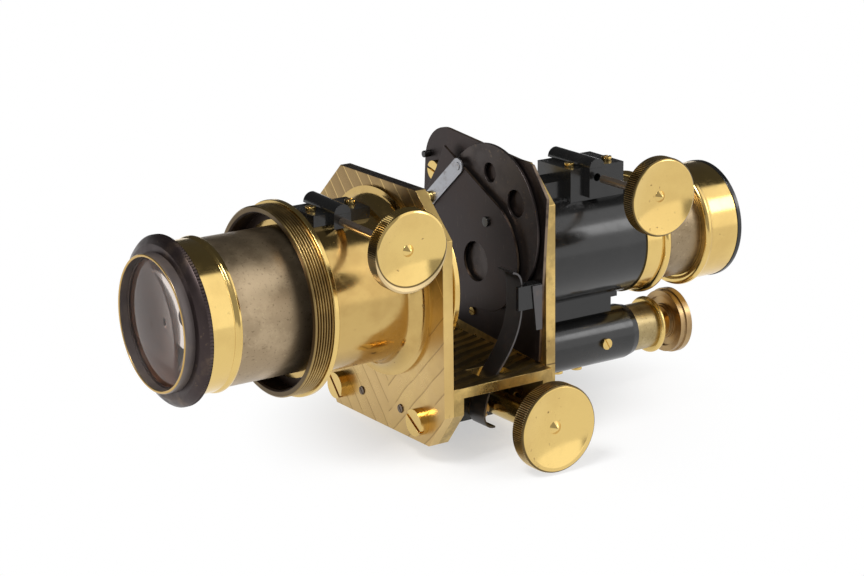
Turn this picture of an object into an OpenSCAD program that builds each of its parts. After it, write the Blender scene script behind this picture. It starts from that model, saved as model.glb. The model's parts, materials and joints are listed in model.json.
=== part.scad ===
// Lantern microscope attachment: condenser, stage between two plates, focusing body and projection tube.
// +X runs along the optical axis from the condenser to the projection lens, -Y is the knob side, +Z is up.
// The origin is on the optical axis, halfway along the collar's thread.

/* [Condenser] */
// Outer radius of the condenser draw tube
cond_tube_r = 31.75; // [29:0.25:33]
// Wall of the condenser draw tube
cond_tube_wall = 1.9; // [1.7:0.1:2.4]
// Distance of the lens ring's front edge from the front plate
cond_reach = 106; // [98:1:116]
// Outer radius of the milled lens ring
lens_ring_r = 36.3; // [35.6:0.1:36.8]
// Width of the milled lens ring
lens_ring_w = 3.6; // [3:0.2:5]
// Clear radius of the condenser lens
lens_clear_r = 28; // [24:0.5:28.5]
// Length of the polished cell behind the lens ring
cell_len = 15.4; // [13:0.2:18]

/* [Jacket and collar] */
// Wall of the jacket round the draw tube
jacket_wall = 2.4; // [2:0.1:3.2]
// Length of the jacket in front of the front plate
jacket_len = 49; // [46:1:54]
// Outer radius of the threaded collar
collar_r = 41.2; // [40:0.1:42.5]
// Wall of the threaded collar
collar_wall = 3.3; // [2.6:0.1:4]
// Length of the threaded part of the collar
collar_len = 8.4; // [7:0.2:11]
// Radius of the jacket's foot flange
foot_r = 41.8; // [40:0.2:43]
// How far the jacket and its pinion are turned towards the knob side, in degrees
jacket_roll = 2.1; // [0:0.1:4]

/* [Plates and bridge] */
// Thickness of the front plate
front_plate_t = 5; // [4:0.5:6]
// Half width of the front plate and the bridge
plate_half_w = 49.5; // [48:0.5:52]
// Half width of the rear plate
rear_half_w = 44.8; // [43:0.1:46]
// Thickness of the rear plate
rear_plate_t = 5; // [4:0.5:6]
// Height of the plates' top edge above the optical axis
plate_top = 46; // [44:1:50]
// Depth of the plates' bottom edge below the optical axis
plate_drop = 66; // [65:1:70]
// Clear distance between the bridge's two legs
leg_gap = 41.8; // [40:0.2:46]
// Thickness of the bridge's legs
leg_t = 5.2; // [4.4:0.2:6]
// Thickness of the bridge's top
bridge_t = 4.6; // [4:0.2:5.4]
// Gap between the jacket's rear flange and the bridge
bridge_gap = 0.3; // [0.3:0.1:1.2]

/* [Stage and wheel] */
// Thickness of the black stage plate
stage_t = 1.5; // [1.2:0.1:2]
// How far the stage plate sits off square, in degrees
stage_tilt = 4.7; // [4:0.1:6]
// Radius of the light opening in the stage plate and its cover
stage_hole_r = 9.1; // [8.4:0.1:9.6]
// Radius of the diaphragm wheel
wheel_r = 34.7; // [34:0.1:35]
// Thickness of the diaphragm wheel
wheel_t = 1.4; // [1.2:0.1:1.8]
// Radius of the circle on which the wheel's holes lie
wheel_pitch_r = 21.8; // [21.4:0.1:22.1]
// Radius of the wheel's largest hole
wheel_hole_r = 9.5; // [8.5:0.1:9.8]
// Thickness of the cover plate
cover_t = 1.2; // [1:0.1:1.6]

/* [Focusing body] */
// Outer radius of the body tube
body_r = 25.8; // [25.2:0.1:26.2]
// Outer radius of the projection draw tube
draw_r = 24; // [23.4:0.1:24.3]
// Wall of the projection draw tube
draw_wall = 1.5; // [1.2:0.1:2]
// Length of the body tube
body_len = 65.5; // [62:0.5:70]
// Outer radius of the lower sleeve
sleeve_r = 12.9; // [12.6:0.1:13.4]
// Radius of the limb tube
limb_r = 11; // [10.6:0.1:11.3]
// Depth of the limb's axis below the bridge's underside
limb_sink = 3.9; // [3.6:0.1:4.2]
// Radius of the projection cell
proj_cell_r = 27.2; // [26.6:0.1:28]
// Length of the projection cell
proj_cell_len = 20; // [18:1:24]
// Distance of the projection cell's front from the front plate
proj_reach = 161; // [160:1:164]

/* [Knobs] */
// Radius of the two upper milled knobs
knob_r = 17.6; // [16:0.1:19]
// Thickness of the two upper milled knobs
knob_t = 7; // [6:0.5:8]
// Radius of the coarse focus knob
coarse_knob_r = 19.7; // [18:0.1:20.5]
// Thickness of the coarse focus knob
coarse_knob_t = 8; // [7:0.5:9]
// Radius of the fine focus head
fine_head_r = 15.4; // [14:0.1:16.5]
// Thickness of the fine focus head
fine_head_t = 7.5; // [6:0.5:9]

/* [Racks and pinions] */
// Tooth size of the racks and pinions (module)
tooth_m = 0.6; // [0.6:0.1:0.6]
// Teeth on the condenser pinion
cond_teeth = 10; // [10:1:11]
// Teeth on the other pinions
main_teeth = 14; // [14:1:14]
// Radius of the pinion shafts
shaft_r = 1.8; // [1.6:0.1:2]

/* [Hidden] */
x_origin = -jacket_len - collar_len / 2;
$fn = 96;
run_fit = 0.05; // radial clearance of tubes and shafts that slide or turn
seat = 0.05; // gap where a curved face seats on another
free = 0.4; // clearance of parts that must not touch
lift = 0.3; // gap below a part that is carried at its edge

// jacket
jacket_in_r = cond_tube_r + run_fit;
jacket_r = jacket_in_r + jacket_wall;
tail_len = 13;
tail_flange_r = jacket_r + 3.8;

// plates
bridge_drop = tail_flange_r + bridge_gap;
rear_top = plate_top + 6;
rear_trim = 3; // cut off the rear plate's top edge
shoulder_low = 15.7 - plate_drop;
top_half_w = plate_half_w - 20;
bottom_half_w = plate_half_w - 12.3;
x_leg1 = front_plate_t;
x_bay = x_leg1 + leg_t;
x_leg2 = x_bay + leg_gap;
x_rear = x_leg2 + leg_t;
x_back = x_rear + rear_plate_t;
bridge_under = bridge_drop + bridge_t;
limb_drop = bridge_under + limb_sink;

// condenser
x_ring = -cond_reach;
x_cell = x_ring + lens_ring_w;
x_cell_end = x_cell + cell_len;
cell_r = cond_tube_r + 0.9;
x_tube_end = -6;
lens_r = lens_clear_r + 1.2;
bezel_proud = 5.2;
collar_in_r = collar_r - collar_wall;
lip_r = collar_r + 1.4;
lip_w = 2.4;
x_collar_back = -jacket_len + lip_w;
x_collar_front = -jacket_len - collar_len;
cove_r = foot_r - jacket_r - 1.2;

// stage
x_stage = x_rear - stage_t;
x_wheel = x_stage - 0.6 - wheel_t;
x_cover = x_wheel - 1.2 - cover_t;
spring_t = 0.8;
x_spring = x_cover - spring_t;
wheel_dir = 23.2;
wheel_y = -wheel_pitch_r * sin(wheel_dir);
wheel_z = wheel_pitch_r * cos(wheel_dir);
wheel_pin_r = 2.2;
stage_left = 48.8;
stage_right = 44;
stage_top = 53;
stage_low = 34;
post_r = 2.6;
post_at = [20, -10]; // y, z of the cover plate's post
edge_screw_at = [8.5, -25.8];
spring_root = [34.3, 22.8];
spring_tip = [12.6, 41.3];
block_w = 6.4;
block_h = 10.6;
block_top = -0.9;
y_block = -stage_right + 0.4;
x_block = x_stage - 12.4;
leaf_t = 0.9;
leaf_w = 11;
leaf_y = y_block + 2.2;
clip_slot_x = [25, 41];

// body
x_body = x_back + 0.6;
x_body_end = x_body + body_len;
body_in_r = draw_r + run_fit;
x_land = x_body + 15;
nose_t = 5;
nose_hole_r = 10.1;
sleeve_len = body_len + 3;
taper_len = 4;
x_sleeve_end = x_body + sleeve_len + taper_len;
web_w = 9;
limb_front = x_bay + 1;
limb_end = x_sleeve_end + 12.5;
limb_hole_r = 6;
nut_len = 14;
x_nut = x_body + 45;
spindle_r = 2.5;
x_fine = limb_end + 9.5;
flange_w = 3.2;

// racks and pinions
front_pinion_z = cond_tube_r + 2.4;
front_pinion_x = -27.4;
cond_pitch_r = tooth_m * cond_teeth / 2;
main_pitch_r = tooth_m * main_teeth / 2;
rear_pinion_x = x_body + 44.2;
rear_pinion_z = draw_r + 9.5;
coarse_pinion_x = x_leg2 - 7;
coarse_pinion_z = -(limb_drop + limb_r + 0.2);
cond_rack_z = front_pinion_z - cond_pitch_r;
draw_rack_z = rear_pinion_z - main_pitch_r;
limb_rack_z = coarse_pinion_z + main_pitch_r;
addendum = 0.8 * tooth_m;
dedendum = 1.1 * tooth_m;
backlash = 0.05; // taken off each flank
rack_back = 1.2; // metal under the teeth
pinion_w = 6;
rack_w = 5;
front_knob_y = -66.9;
rear_knob_y = -63.6;
coarse_knob_y = -70.8;
front_box_y = [-10.5, 8.5];
rear_box_y = [-12.5, 12.5];
front_box_x = [-39.5, -11.5];
rear_box_x = [x_body + 32, x_body + 62];
front_box_top = front_pinion_z + 3.3;
rear_box_top = rear_pinion_z + 4.3;
arch_r = 4.2;
block_y = [-24, 24];
sleeve_out_r = 5.6;

// colours
brass = "goldenrod";
dull = "darkkhaki";
black = "dimgray";
steel = "lightslategray";
bronze = "rosybrown";
glass = "lightcyan";

// ---------- shapes used by several parts ----------

// solid cylinder along X between two stations
module bar_x(r, x0, x1, y = 0, z = 0) {
    translate([x0, y, z]) rotate([0, 90, 0]) cylinder(r = r, h = x1 - x0);
}

// solid cylinder along Y between two stations
module bar_y(r, y0, y1, x = 0, z = 0) {
    translate([x, y0, z]) rotate([-90, 0, 0]) cylinder(r = r, h = y1 - y0);
}

// tube along X
module tube_x(r_out, r_in, x0, x1, y = 0, z = 0) {
    difference() {
        bar_x(r_out, x0, x1, y, z);
        bar_x(r_in, x0 - 1, x1 + 1, y, z);
    }
}

// cone along X
module cone_x(r0, r1, x0, x1, y = 0, z = 0) {
    translate([x0, y, z]) rotate([0, 90, 0]) cylinder(r1 = r0, r2 = r1, h = x1 - x0);
}

// profile given as [x, radius] points, turned about the optical axis
module turn_x(profile) {
    rotate([0, 90, 0]) rotate_extrude() polygon([for (p = profile) [p[1], p[0]]]);
}

// half-round bead of radius b on a cylinder of radius r, at station x
module bead_x(r, b, x, y = 0, z = 0) {
    translate([x, y, z]) rotate([0, 90, 0]) rotate_extrude() translate([r, 0]) circle(r = b, $fn = 32);
}

// block between two corners
module block(a, b) {
    translate(a) cube([b[0] - a[0], b[1] - a[1], b[2] - a[2]]);
}

// flat outline in the YZ plane, given thickness along X
module plate_x(x0, t) {
    translate([x0, 0, 0]) rotate([90, 0, 90]) linear_extrude(t) children();
}

// outline in the XZ plane, given a width along Y from y0
module profile_y(y0, w) {
    translate([0, y0 + w, 0]) rotate([90, 0, 0]) linear_extrude(w) children();
}

// octagonal outline of a plate with cut corners, half width w at the shoulders
module plate_outline(w, top) {
    cut_top = plate_half_w - top_half_w;
    shoulder_top = top - 18.6;
    cut_low = plate_half_w - bottom_half_w;
    right = [[w, shoulder_low], [w, shoulder_top], [w - cut_top, top]];
    left = [[-w + cut_top, top], [-w, shoulder_top], [-w, shoulder_low]];
    polygon(concat([[w - cut_low, -plate_drop]], right, left, [[-w + cut_low, -plate_drop]]));
}

// slotted cheese-head screw along +X from the seat at x; the head points to -X
module cheese_screw(x, y, z, r, head, shank_r, shank, turn = 0) {
    difference() {
        union() {
            bar_x(r, x - head, x, y, z);
            bar_x(shank_r, x - 0.01, x + shank, y, z);
        }
        translate([x - head, y, z]) rotate([turn, 0, 0]) cube([head * 0.9, r * 3, r * 0.24], center = true);
    }
}

// one involute flank point; t is the roll angle in degrees
function involute(rb, t) = let (a = t * PI / 180) [rb * (cos(t) + a * sin(t)), rb * (sin(t) - a * cos(t))];
function spin(p, a) = [p[0] * cos(a) - p[1] * sin(a), p[0] * sin(a) + p[1] * cos(a)];

// pinion teeth as a flat outline, one tooth pointing to -Y
module pinion_outline(teeth) {
    pitch_r = tooth_m * teeth / 2;
    base_r = pitch_r * cos(20);
    tip_r = pitch_r + addendum;
    root_r = pitch_r - dedendum;
    t_tip = sqrt(pow(tip_r / base_r, 2) - 1) * 180 / PI;
    half = 90 / teeth + 0.854 - backlash / pitch_r * 180 / PI;
    flank = [for (i = [0 : 4]) spin(involute(base_r, t_tip * i / 4), -half)];
    mirrored = [for (i = [4 : -1 : 0]) [flank[i][0], -flank[i][1]]];
    foot = spin([root_r * 0.9, 0], -half);
    tooth = concat([foot], flank, mirrored, [[foot[0], -foot[1]]]);
    circle(r = root_r);
    for (i = [0 : teeth - 1]) rotate(-90 + i * 360 / teeth) polygon(tooth);
}

// toothed pinion with its axis along Y
module pinion_y(teeth, x, z, y0, w) {
    translate([x, y0 + w, z]) rotate([90, 0, 0]) linear_extrude(w) pinion_outline(teeth);
}

// rack from x0 to x1 with a gap centred at x_gap; teeth point up when up is 1, down when -1
module rack_outline(x0, x1, z, x_gap, up, back) {
    pitch = PI * tooth_m;
    slope = tan(20);
    half = pitch / 4 - backlash;
    top = half - addendum * slope;
    foot = half + dedendum * slope;
    first = ceil((x0 + foot - x_gap) / pitch - 0.5);
    last = floor((x1 - foot - x_gap) / pitch - 0.5);
    root = z - up * dedendum;
    tip = z + up * addendum;
    teeth = [for (i = [first : last]) let (c = x_gap + (i + 0.5) * pitch)
        each [[c - foot, root], [c - top, tip], [c + top, tip], [c + foot, root]]];
    polygon(concat([[x0, root - up * back], [x0, root]], teeth, [[x1, root], [x1, root - up * back]]));
}

// milled knob on a shaft along Y, outer face at y, dished with a small central cone
module knob(x, y, z, r, t, bore_r) {
    dish = t * 0.24;
    rim = r * 0.93;
    difference() {
        union() {
            bar_y(r, y + 0.5, y + t - 0.6, x, z);
            bar_y(r - 0.6, y, y + t, x, z);
            bar_y(bore_r + 2.4, y + t - 0.01, y + t + 3.4, x, z);
        }
        translate([x, y - 0.01, z]) rotate([-90, 0, 0]) cylinder(r1 = rim, r2 = r * 0.12, h = dish);
        bar_y(bore_r, y + dish + 1.2, y + t + 4, x, z);
    }
    translate([x, y + dish - 0.01, z]) rotate([90, 0, 0]) cylinder(r1 = r * 0.12, r2 = 0.3, h = dish * 0.85);
}

// moves a part from the front plate's face to the collar's thread
module placed() {
    translate([-x_origin, 0, 0]) children();
}

// ---------- plates and bridge ----------

module front_plate() {
    color(brass) difference() {
        plate_x(0, front_plate_t) plate_outline(plate_half_w, plate_top);
        bar_x(jacket_r + seat, -1, front_plate_t + 1);
        for (s = [-1, 1]) {
            bar_x(big_screw_shank + seat, -1, front_plate_t + 1, s * big_screw_y, -big_screw_z);
            bar_x(small_pin_r + seat, -1, front_plate_t + 1, s * small_pin_y, -small_pin_z);
        }
    }
}
big_screw_r = 6;
big_screw_head = 4.4;
big_screw_shank = 2.4;
big_screw_y = 32;
big_screw_z = plate_drop - 10.2;
small_pin_r = 1.9;
small_pin_y = 15.6;
small_pin_z = plate_drop - 11.4;

// hole for the flat-topped front of the limb
module limb_hole(x0, x1) {
    difference() {
        bar_x(limb_r + free, x0, x1, 0, -limb_drop);
        block([x0 - 1, -limb_r - 1, -bridge_under], [x1 + 1, limb_r + 1, 0]);
    }
}

module bridge_bracket() {
    color(brass) difference() {
        intersection() {
            plate_x(x_leg1, x_rear - x_leg1) plate_outline(plate_half_w, plate_top);
            block([x_leg1, -plate_half_w, -plate_drop], [x_rear, plate_half_w, -bridge_drop]);
        }
        block([x_bay, -plate_half_w - 1, -plate_drop - 1], [x_leg2, plate_half_w + 1, -bridge_under]);
        // slot for the slide clip
        block([clip_slot_x[0], leaf_y - 1.2, -bridge_under - 1],
            [clip_slot_x[1], leaf_y + leaf_w + 1.2, -bridge_drop + 1]);
        limb_hole(x_leg2 - 1, x_rear + 1);
        for (s = [-1, 1]) {
            bar_x(big_screw_shank + seat, x_leg1 - 1, x_bay + 1, s * big_screw_y, -big_screw_z);
            bar_x(small_pin_r + seat, x_leg1 - 1, x_bay + 1, s * small_pin_y, -small_pin_z);
            bar_x(big_screw_shank + seat, x_leg2 - 1, x_rear + 1, s * rear_screw_y, -big_screw_z);
        }
    }
}
rear_screw_y = 30;

module rear_plate() {
    color(brass) difference() {
        plate_x(x_rear, rear_plate_t) plate_outline(rear_half_w, rear_top);
        block([x_rear - 1, -rear_half_w, rear_top - rear_trim], [x_back + 1, rear_half_w, rear_top + 1]);
        bar_x(rear_hole_r, x_rear - 1, x_back + 1);
        limb_hole(x_rear - 1, x_back + 1);
        for (s = [-1, 1])
            bar_x(big_screw_shank + seat, x_rear - 1, x_back + 1, s * rear_screw_y, -big_screw_z);
        bar_x(stage_screw_shank + seat, x_rear - 1, x_back + 1, stage_screw_at[0], stage_screw_at[1]);
    }
}
rear_hole_r = 20;
stage_screw_at = [36.4, 34.4];
stage_screw_r = 4.5;
stage_screw_shank = 2.2;

module front_plate_screws() {
    color(brass) for (s = [-1, 1])
        cheese_screw(0, s * big_screw_y, -big_screw_z, big_screw_r, big_screw_head, big_screw_shank,
            front_plate_t + leg_t - 0.4, 40 + s * 8);
}

module front_plate_pins() {
    color(brass) for (s = [-1, 1]) difference() {
        bar_x(small_pin_r, -0.5, front_plate_t + leg_t - 0.6, s * small_pin_y, -small_pin_z);
        translate([-0.5, s * small_pin_y, -small_pin_z]) rotate([50, 0, 0])
            cube([0.8, small_pin_r * 3, 0.5], center = true);
    }
}

module rear_plate_screws() {
    color(brass) for (s = [-1, 1]) translate([x_back, 0, 0]) mirror([1, 0, 0])
        cheese_screw(0, s * rear_screw_y, -big_screw_z, big_screw_r - 1.2, 3, big_screw_shank,
            rear_plate_t + leg_t - 0.4, 30 * s);
}

// ---------- condenser ----------

// everything on the jacket is turned with it about the optical axis
module rolled() {
    rotate([jacket_roll, 0, 0]) children();
}

module condenser_jacket() {
    color(brass) difference() {
        union() {
            bar_x(jacket_r, -jacket_len, front_plate_t + tail_len - 1);
            // coved foot: a flange with a concave quarter round in front of it
            difference() {
                bar_x(foot_r, -cove_r - 1.4, 0);
                translate([-cove_r - 1.4, 0, 0]) rotate([0, 90, 0]) rotate_extrude()
                    translate([jacket_r + cove_r, 0]) circle(r = cove_r, $fn = 48);
                tube_x(foot_r + 1, jacket_r + cove_r, -cove_r - 2, -1.4);
            }
        }
        bar_x(jacket_in_r, -jacket_len - 1, front_plate_t + tail_len);
        // window through which the pinion reaches the rack
        rolled() block([front_pinion_x - cond_pitch_r - 1.2, -pinion_w / 2 - free, jacket_in_r - 2],
            [front_pinion_x + cond_pitch_r + 1.2, pinion_w / 2 + free, jacket_r + 2]);
        rolled() bar_y(shaft_r + free, front_nose_y, -front_nose_y, front_pinion_x, front_pinion_z);
    }
}

module tail_ring() {
    color(dull) difference() {
        union() {
            bar_x(tail_flange_r, front_plate_t + tail_len - 4.2, front_plate_t + tail_len - 1);
            bar_x(jacket_r + 2, front_plate_t, front_plate_t + tail_len - 4.2);
        }
        bar_x(jacket_r + seat, front_plate_t - 1, front_plate_t + tail_len);
    }
}

module lantern_collar() {
    color(bronze) difference() {
        union() {
            bar_x(collar_r, x_collar_front, -jacket_len);
            bar_x(lip_r, -jacket_len, x_collar_back);
        }
        bar_x(collar_in_r, x_collar_front - 1, -jacket_len);
        bar_x(jacket_r + seat, x_collar_front - 1, x_collar_back + 1);
        turn_x([[x_collar_front - 0.1, 0], [x_collar_front - 0.1, collar_in_r + 0.9],
            [x_collar_front + 0.8, collar_in_r], [x_collar_front + 0.8, 0]]);
    }
}

// arched nose and block that carry a pinion; base follows a cylinder of radius r_base
module pinion_block(bx, by, top, r_base, px, pz, nose_y) {
    difference() {
        union() {
            block([bx[0], by[0], r_base * 0.82], [bx[1], by[1], top]);
            block([px - arch_r, nose_y, r_base * 0.86], [px + arch_r, by[0] + 0.01, top]);
        }
        bar_x(r_base + seat, bx[0] - 1, bx[1] + 1);
    }
}

module front_pinion_box() {
    color(black) rolled() difference() {
        pinion_block(front_box_x, front_box_y, front_box_top, jacket_r, front_pinion_x, front_pinion_z,
            front_nose_y);
        bar_y(shaft_r + run_fit, front_nose_y - 1, front_box_y[1] - 2, front_pinion_x, front_pinion_z);
        bar_y(cond_pitch_r + addendum + free, -pinion_w / 2 - free, pinion_w / 2 + free,
            front_pinion_x, front_pinion_z);
        block([front_pinion_x - cond_pitch_r - 0.9, -pinion_w / 2 - free, jacket_r - 4],
            [front_pinion_x + cond_pitch_r + 0.9, pinion_w / 2 + free, front_pinion_z]);
        for (p = front_box_holes)
            translate([p[0], p[1], front_box_top - box_screw_depth[0] - 0.3])
                cylinder(r = 1.15 + seat, h = 6);
    }
}
front_nose_y = -14;
box_screw_depth = [2.2, 4.4]; // of the front and the rear box's screws
front_box_holes = [[front_box_x[0] + 4.2, -1.2], [front_box_x[1] - 4.2, -1.2]];
rear_nose_y = -16;
rear_box_holes = [[rear_box_x[0] + 4.4, -5.6], [rear_box_x[1] - 4.4, -5.6]];

// half-round cap along Y, hollowed over a pinion of tip radius r at height pz
module pinion_cap(px, top, y0, y1, r, pz) {
    difference() {
        bar_y(arch_r, y0, y1, px, top);
        block([px - arch_r - 1, y0 - 1, top - arch_r - 1], [px + arch_r + 1, y1 + 1, top]);
        bar_y(r + free, -pinion_w / 2 - free, pinion_w / 2 + free, px, pz);
    }
}

module front_pinion_cap() {
    color(black) rolled() pinion_cap(front_pinion_x, front_box_top, front_nose_y,
        front_box_y[1] + 2.5, cond_pitch_r + addendum, front_pinion_z);
}

// cheese-head screws standing on a box top
module box_screws(holes, top, depth) {
    for (p = holes) difference() {
        union() {
            translate([p[0], p[1], top]) cylinder(r = 2.3, h = 1.7);
            translate([p[0], p[1], top - depth]) cylinder(r = 1.15, h = depth + 0.1);
        }
        translate([p[0], p[1], top + 1.7]) rotate([0, 0, 25]) cube([6, 0.6, 1.4], center = true);
    }
}

module front_box_screws() {
    color(brass) rolled() box_screws(front_box_holes, front_box_top, box_screw_depth[0]);
}

module condenser_tube() {
    color(dull) difference() {
        bar_x(cond_tube_r, x_cell + 2, x_tube_end);
        bar_x(cond_tube_r - cond_tube_wall, x_cell + 1, x_tube_end + 1);
        rolled() block([cond_rack_x[0], -rack_w / 2, 0], [cond_rack_x[1], rack_w / 2, cond_tube_r + 1]);
    }
}
cond_rack_x = [front_pinion_x - 18, front_pinion_x + 14];

module condenser_rack() {
    color(dull) rolled() profile_y(-rack_w / 2, rack_w)
        rack_outline(cond_rack_x[0], cond_rack_x[1], cond_rack_z, front_pinion_x, 1, rack_back);
}

module condenser_cell() {
    color(brass) difference() {
        union() {
            bar_x(cell_r, x_cell, x_cell_end - 1);
            bead_x(cell_r - 0.2, 1, x_cell_end - 1);
        }
        bar_x(cond_tube_r + seat, x_cell + 2, x_cell_end + 2);
        bar_x(lens_r + 0.2, x_cell - 1, x_cell + 3);
    }
}

module lens_ring() {
    color(bronze) difference() {
        turn_x([[x_cell, 0], [x_cell, lens_ring_r], [x_ring + 1.6, lens_ring_r],
            [x_ring, lens_ring_r - 1.4], [x_ring - 1.2, lens_r + 2.2], [x_ring - 1.2, 0]]);
        bar_x(lens_r + 0.2, x_ring - 2, x_cell + 1);
    }
}

module lens_bezel() {
    color(brass) difference() {
        union() {
            bar_x(lens_r + 0.15, x_ring - bezel_proud, x_cell);
            bead_x(lens_r - 0.6, 0.75, x_ring - bezel_proud);
        }
        bar_x(lens_clear_r, x_ring - bezel_proud - 2, x_cell + 1);
    }
}

// lens with two equal convex faces of sagitta sag, between stations x0 and x1
module convex_lens(r, x0, x1, sag) {
    ball = (r * r + sag * sag) / (2 * sag);
    intersection() {
        bar_x(r, x0 - sag, x1 + sag);
        translate([x0 - sag + ball, 0, 0]) rotate([0, 90, 0]) sphere(r = ball, $fn = 128);
        translate([x1 + sag - ball, 0, 0]) rotate([0, 90, 0]) sphere(r = ball, $fn = 128);
    }
}

module condenser_lens() {
    color(glass) convex_lens(lens_clear_r - 0.1, x_ring - 2, x_ring + 2, 3);
}

module condenser_back_lens() {
    color(glass) convex_lens(cond_tube_r - cond_tube_wall - 0.1, x_cell_end + 4, x_cell_end + 8, 5);
}

module front_pinion() {
    color(steel) rolled() {
        bar_y(shaft_r, front_knob_y + knob_t * 0.24 + 1.4, front_box_y[1] - 2.2, front_pinion_x, front_pinion_z);
        pinion_y(cond_teeth, front_pinion_x, front_pinion_z, -rack_w / 2 + lift, rack_w - 2 * lift);
    }
}

module front_knob() {
    color(brass) rolled() knob(front_pinion_x, front_knob_y, front_pinion_z, knob_r, knob_t, shaft_r + seat / 2);
}

// ---------- stage, wheel and clip ----------

module stage_outline() {
    corner = 18;
    difference() {
        union() {
            polygon([[-stage_right, -stage_low], [stage_left, -stage_low], [stage_left, stage_top - corner],
                [stage_left - corner, stage_top], [-stage_right + 11.5, stage_top],
                [-stage_right, stage_top - 12]]);
            translate([stage_left - corner, stage_top - corner]) circle(r = corner);
        }
        circle(r = stage_hole_r + 1.5);
    }
}

module tilted() {
    rotate([stage_tilt, 0, 0]) children();
}

module stage_plate() {
    color(black) difference() {
        tilted() plate_x(x_stage, stage_t) stage_outline();
        bar_x(wheel_pin_r + seat, x_stage - 1, x_rear + 1, wheel_y, wheel_z);
        bar_x(stage_screw_shank + seat, x_stage - 1, x_rear + 1, stage_screw_at[0], stage_screw_at[1]);
        bar_x(1 + seat, x_stage - 1, x_rear + 1, edge_screw_at[0], edge_screw_at[1]);
    }
}

module stage_plate_screw() {
    color(brass) cheese_screw(x_stage, stage_screw_at[0], stage_screw_at[1], stage_screw_r, 2.2,
        stage_screw_shank, stage_t + rear_plate_t - 0.2, 14);
}

module stage_stop_peg() {
    color(black) bar_x(1.6, x_stage - 3.4, x_stage, 42.4, 41);
}

// the cover is a disc with a wing up to its apex and a flat lower edge
module cover_plate() {
    disc_at = [-5.2, 5];
    disc_r = 26.4;
    apex = [24.1, 48.5];
    run = apex - disc_at;
    dir = atan2(run[1], run[0]) + acos(disc_r / norm(run));
    color(black) difference() {
        union() {
            bar_x(disc_r, x_cover, x_cover + cover_t, disc_at[0], disc_at[1]);
            plate_x(x_cover, cover_t) polygon([disc_at + disc_r * [cos(dir), sin(dir)], apex, [31, 36.5],
                [38.6, 26], [39.8, 8], [32, -18], [9, -22.4], [-4, disc_at[1] - disc_r * 0.996], [-9, 0]]);
        }
        bar_x(stage_hole_r, x_cover - 1, x_wheel);
        bar_x(wheel_pin_r + seat, x_cover - 1, x_wheel, wheel_y, wheel_z);
        bar_x(1.2 + seat, x_cover - 1, x_wheel, post_at[0], post_at[1]);
        bar_x(post_r + free, x_cover - 1, x_wheel, spring_root[0], spring_root[1]);
        bar_x(2.6, x_cover - 1, x_wheel, spring_tip[0] - 0.6, spring_tip[1] + 0.4);
    }
}

module cover_posts() {
    color(black) {
        difference() {
            bar_x(post_r, x_cover + cover_t, x_stage, post_at[0], post_at[1]);
            bar_x(1.2 + seat, x_cover, x_stage - 0.5, post_at[0], post_at[1]);
        }
        difference() {
            bar_x(post_r, x_spring + spring_t, x_stage, spring_root[0], spring_root[1]);
            bar_x(1.2 + seat, x_spring, x_stage - 0.5, spring_root[0], spring_root[1]);
        }
    }
}

module cover_screws() {
    color(brass) {
        cheese_screw(x_cover, post_at[0], post_at[1], 2.3, 1.6, 1.2, x_stage - 0.8 - x_cover, 35);
        cheese_screw(x_stage, edge_screw_at[0], edge_screw_at[1], 1.9, 0.9, 1, stage_t - 0.2, 10);
    }
}

module wheel_pivot() {
    color(black) {
        bar_x(wheel_pin_r, x_cover - 0.9, x_rear, wheel_y, wheel_z);
        bar_x(wheel_pin_r + 1.2, x_wheel + wheel_t + 0.1, x_stage, wheel_y, wheel_z);
        bar_x(wheel_pin_r + 1.2, x_cover + cover_t, x_wheel - 0.1, wheel_y, wheel_z);
    }
}

module diaphragm_wheel() {
    hole_at = [-1.6, 58.5, 150, 257, 307]; // degrees from the top; a blank stands at the light opening
    shares = [0.46, 0.65, 0.84, 1, 0.32];
    color("saddlebrown") difference() {
        bar_x(wheel_r, x_wheel, x_wheel + wheel_t, wheel_y, wheel_z);
        bar_x(wheel_pin_r + run_fit, x_wheel - 1, x_wheel + wheel_t + 1, wheel_y, wheel_z);
        for (i = [0 : 4]) translate([0, wheel_y, wheel_z]) rotate([hole_at[i], 0, 0])
            bar_x(shares[i] * wheel_hole_r, x_wheel - 1, x_wheel + wheel_t + 1, 0, wheel_pitch_r);
    }
}

module detent_spring() {
    run = spring_root - spring_tip;
    len = norm(run);
    color(steel) plate_x(x_spring, spring_t) difference() {
        union() {
            translate(spring_tip) circle(r = 3.6);
            translate(spring_tip) rotate(atan2(run[1], run[0])) translate([0, -3.6]) square([len + 7, 7.2]);
        }
        translate(spring_tip) circle(r = 1.1 + seat);
        translate(spring_root) circle(r = 1.2 + seat);
    }
}

module detent_rivet() {
    color(steel) {
        bar_x(1.1, x_spring - 0.1, x_wheel - 0.3, spring_tip[0], spring_tip[1]);
        bar_x(1.8, x_spring - 0.35, x_spring, spring_tip[0], spring_tip[1]);
    }
}

module detent_screw() {
    color(brass) cheese_screw(x_spring, spring_root[0], spring_root[1], 2.9, 1.8, 1.2,
        x_stage - 0.8 - x_spring, 60);
}

// the near cheek covers the clip's pivot; the core behind it is screwed to the stage plate
module clip_block() {
    color(black) difference() {
        union() {
            block([x_block, y_block, block_top - block_h], [x_stage, y_block + cheek_t, block_top]);
            block([x_core, y_block, block_top - block_h], [x_stage, y_block + block_w, block_top]);
        }
        bar_y(clip_pin_r + seat, y_block + 0.4, y_block + block_w + 1, x_clip_pin, z_clip_pin);
    }
}
cheek_t = 1.8;
clip_pin_r = 0.9;
clip_barrel_r = 1.7;
x_clip_pin = x_block + 5;
z_clip_pin = block_top - block_h / 2;
x_core = x_clip_pin + clip_barrel_r + free;

// smooth quadratic bend through three control points, as n + 1 points
function bend(a, b, c, n) = [for (i = [0 : n]) let (t = i / n)
    a * pow(1 - t, 2) + b * 2 * t * (1 - t) + c * pow(t, 2)];
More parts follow.
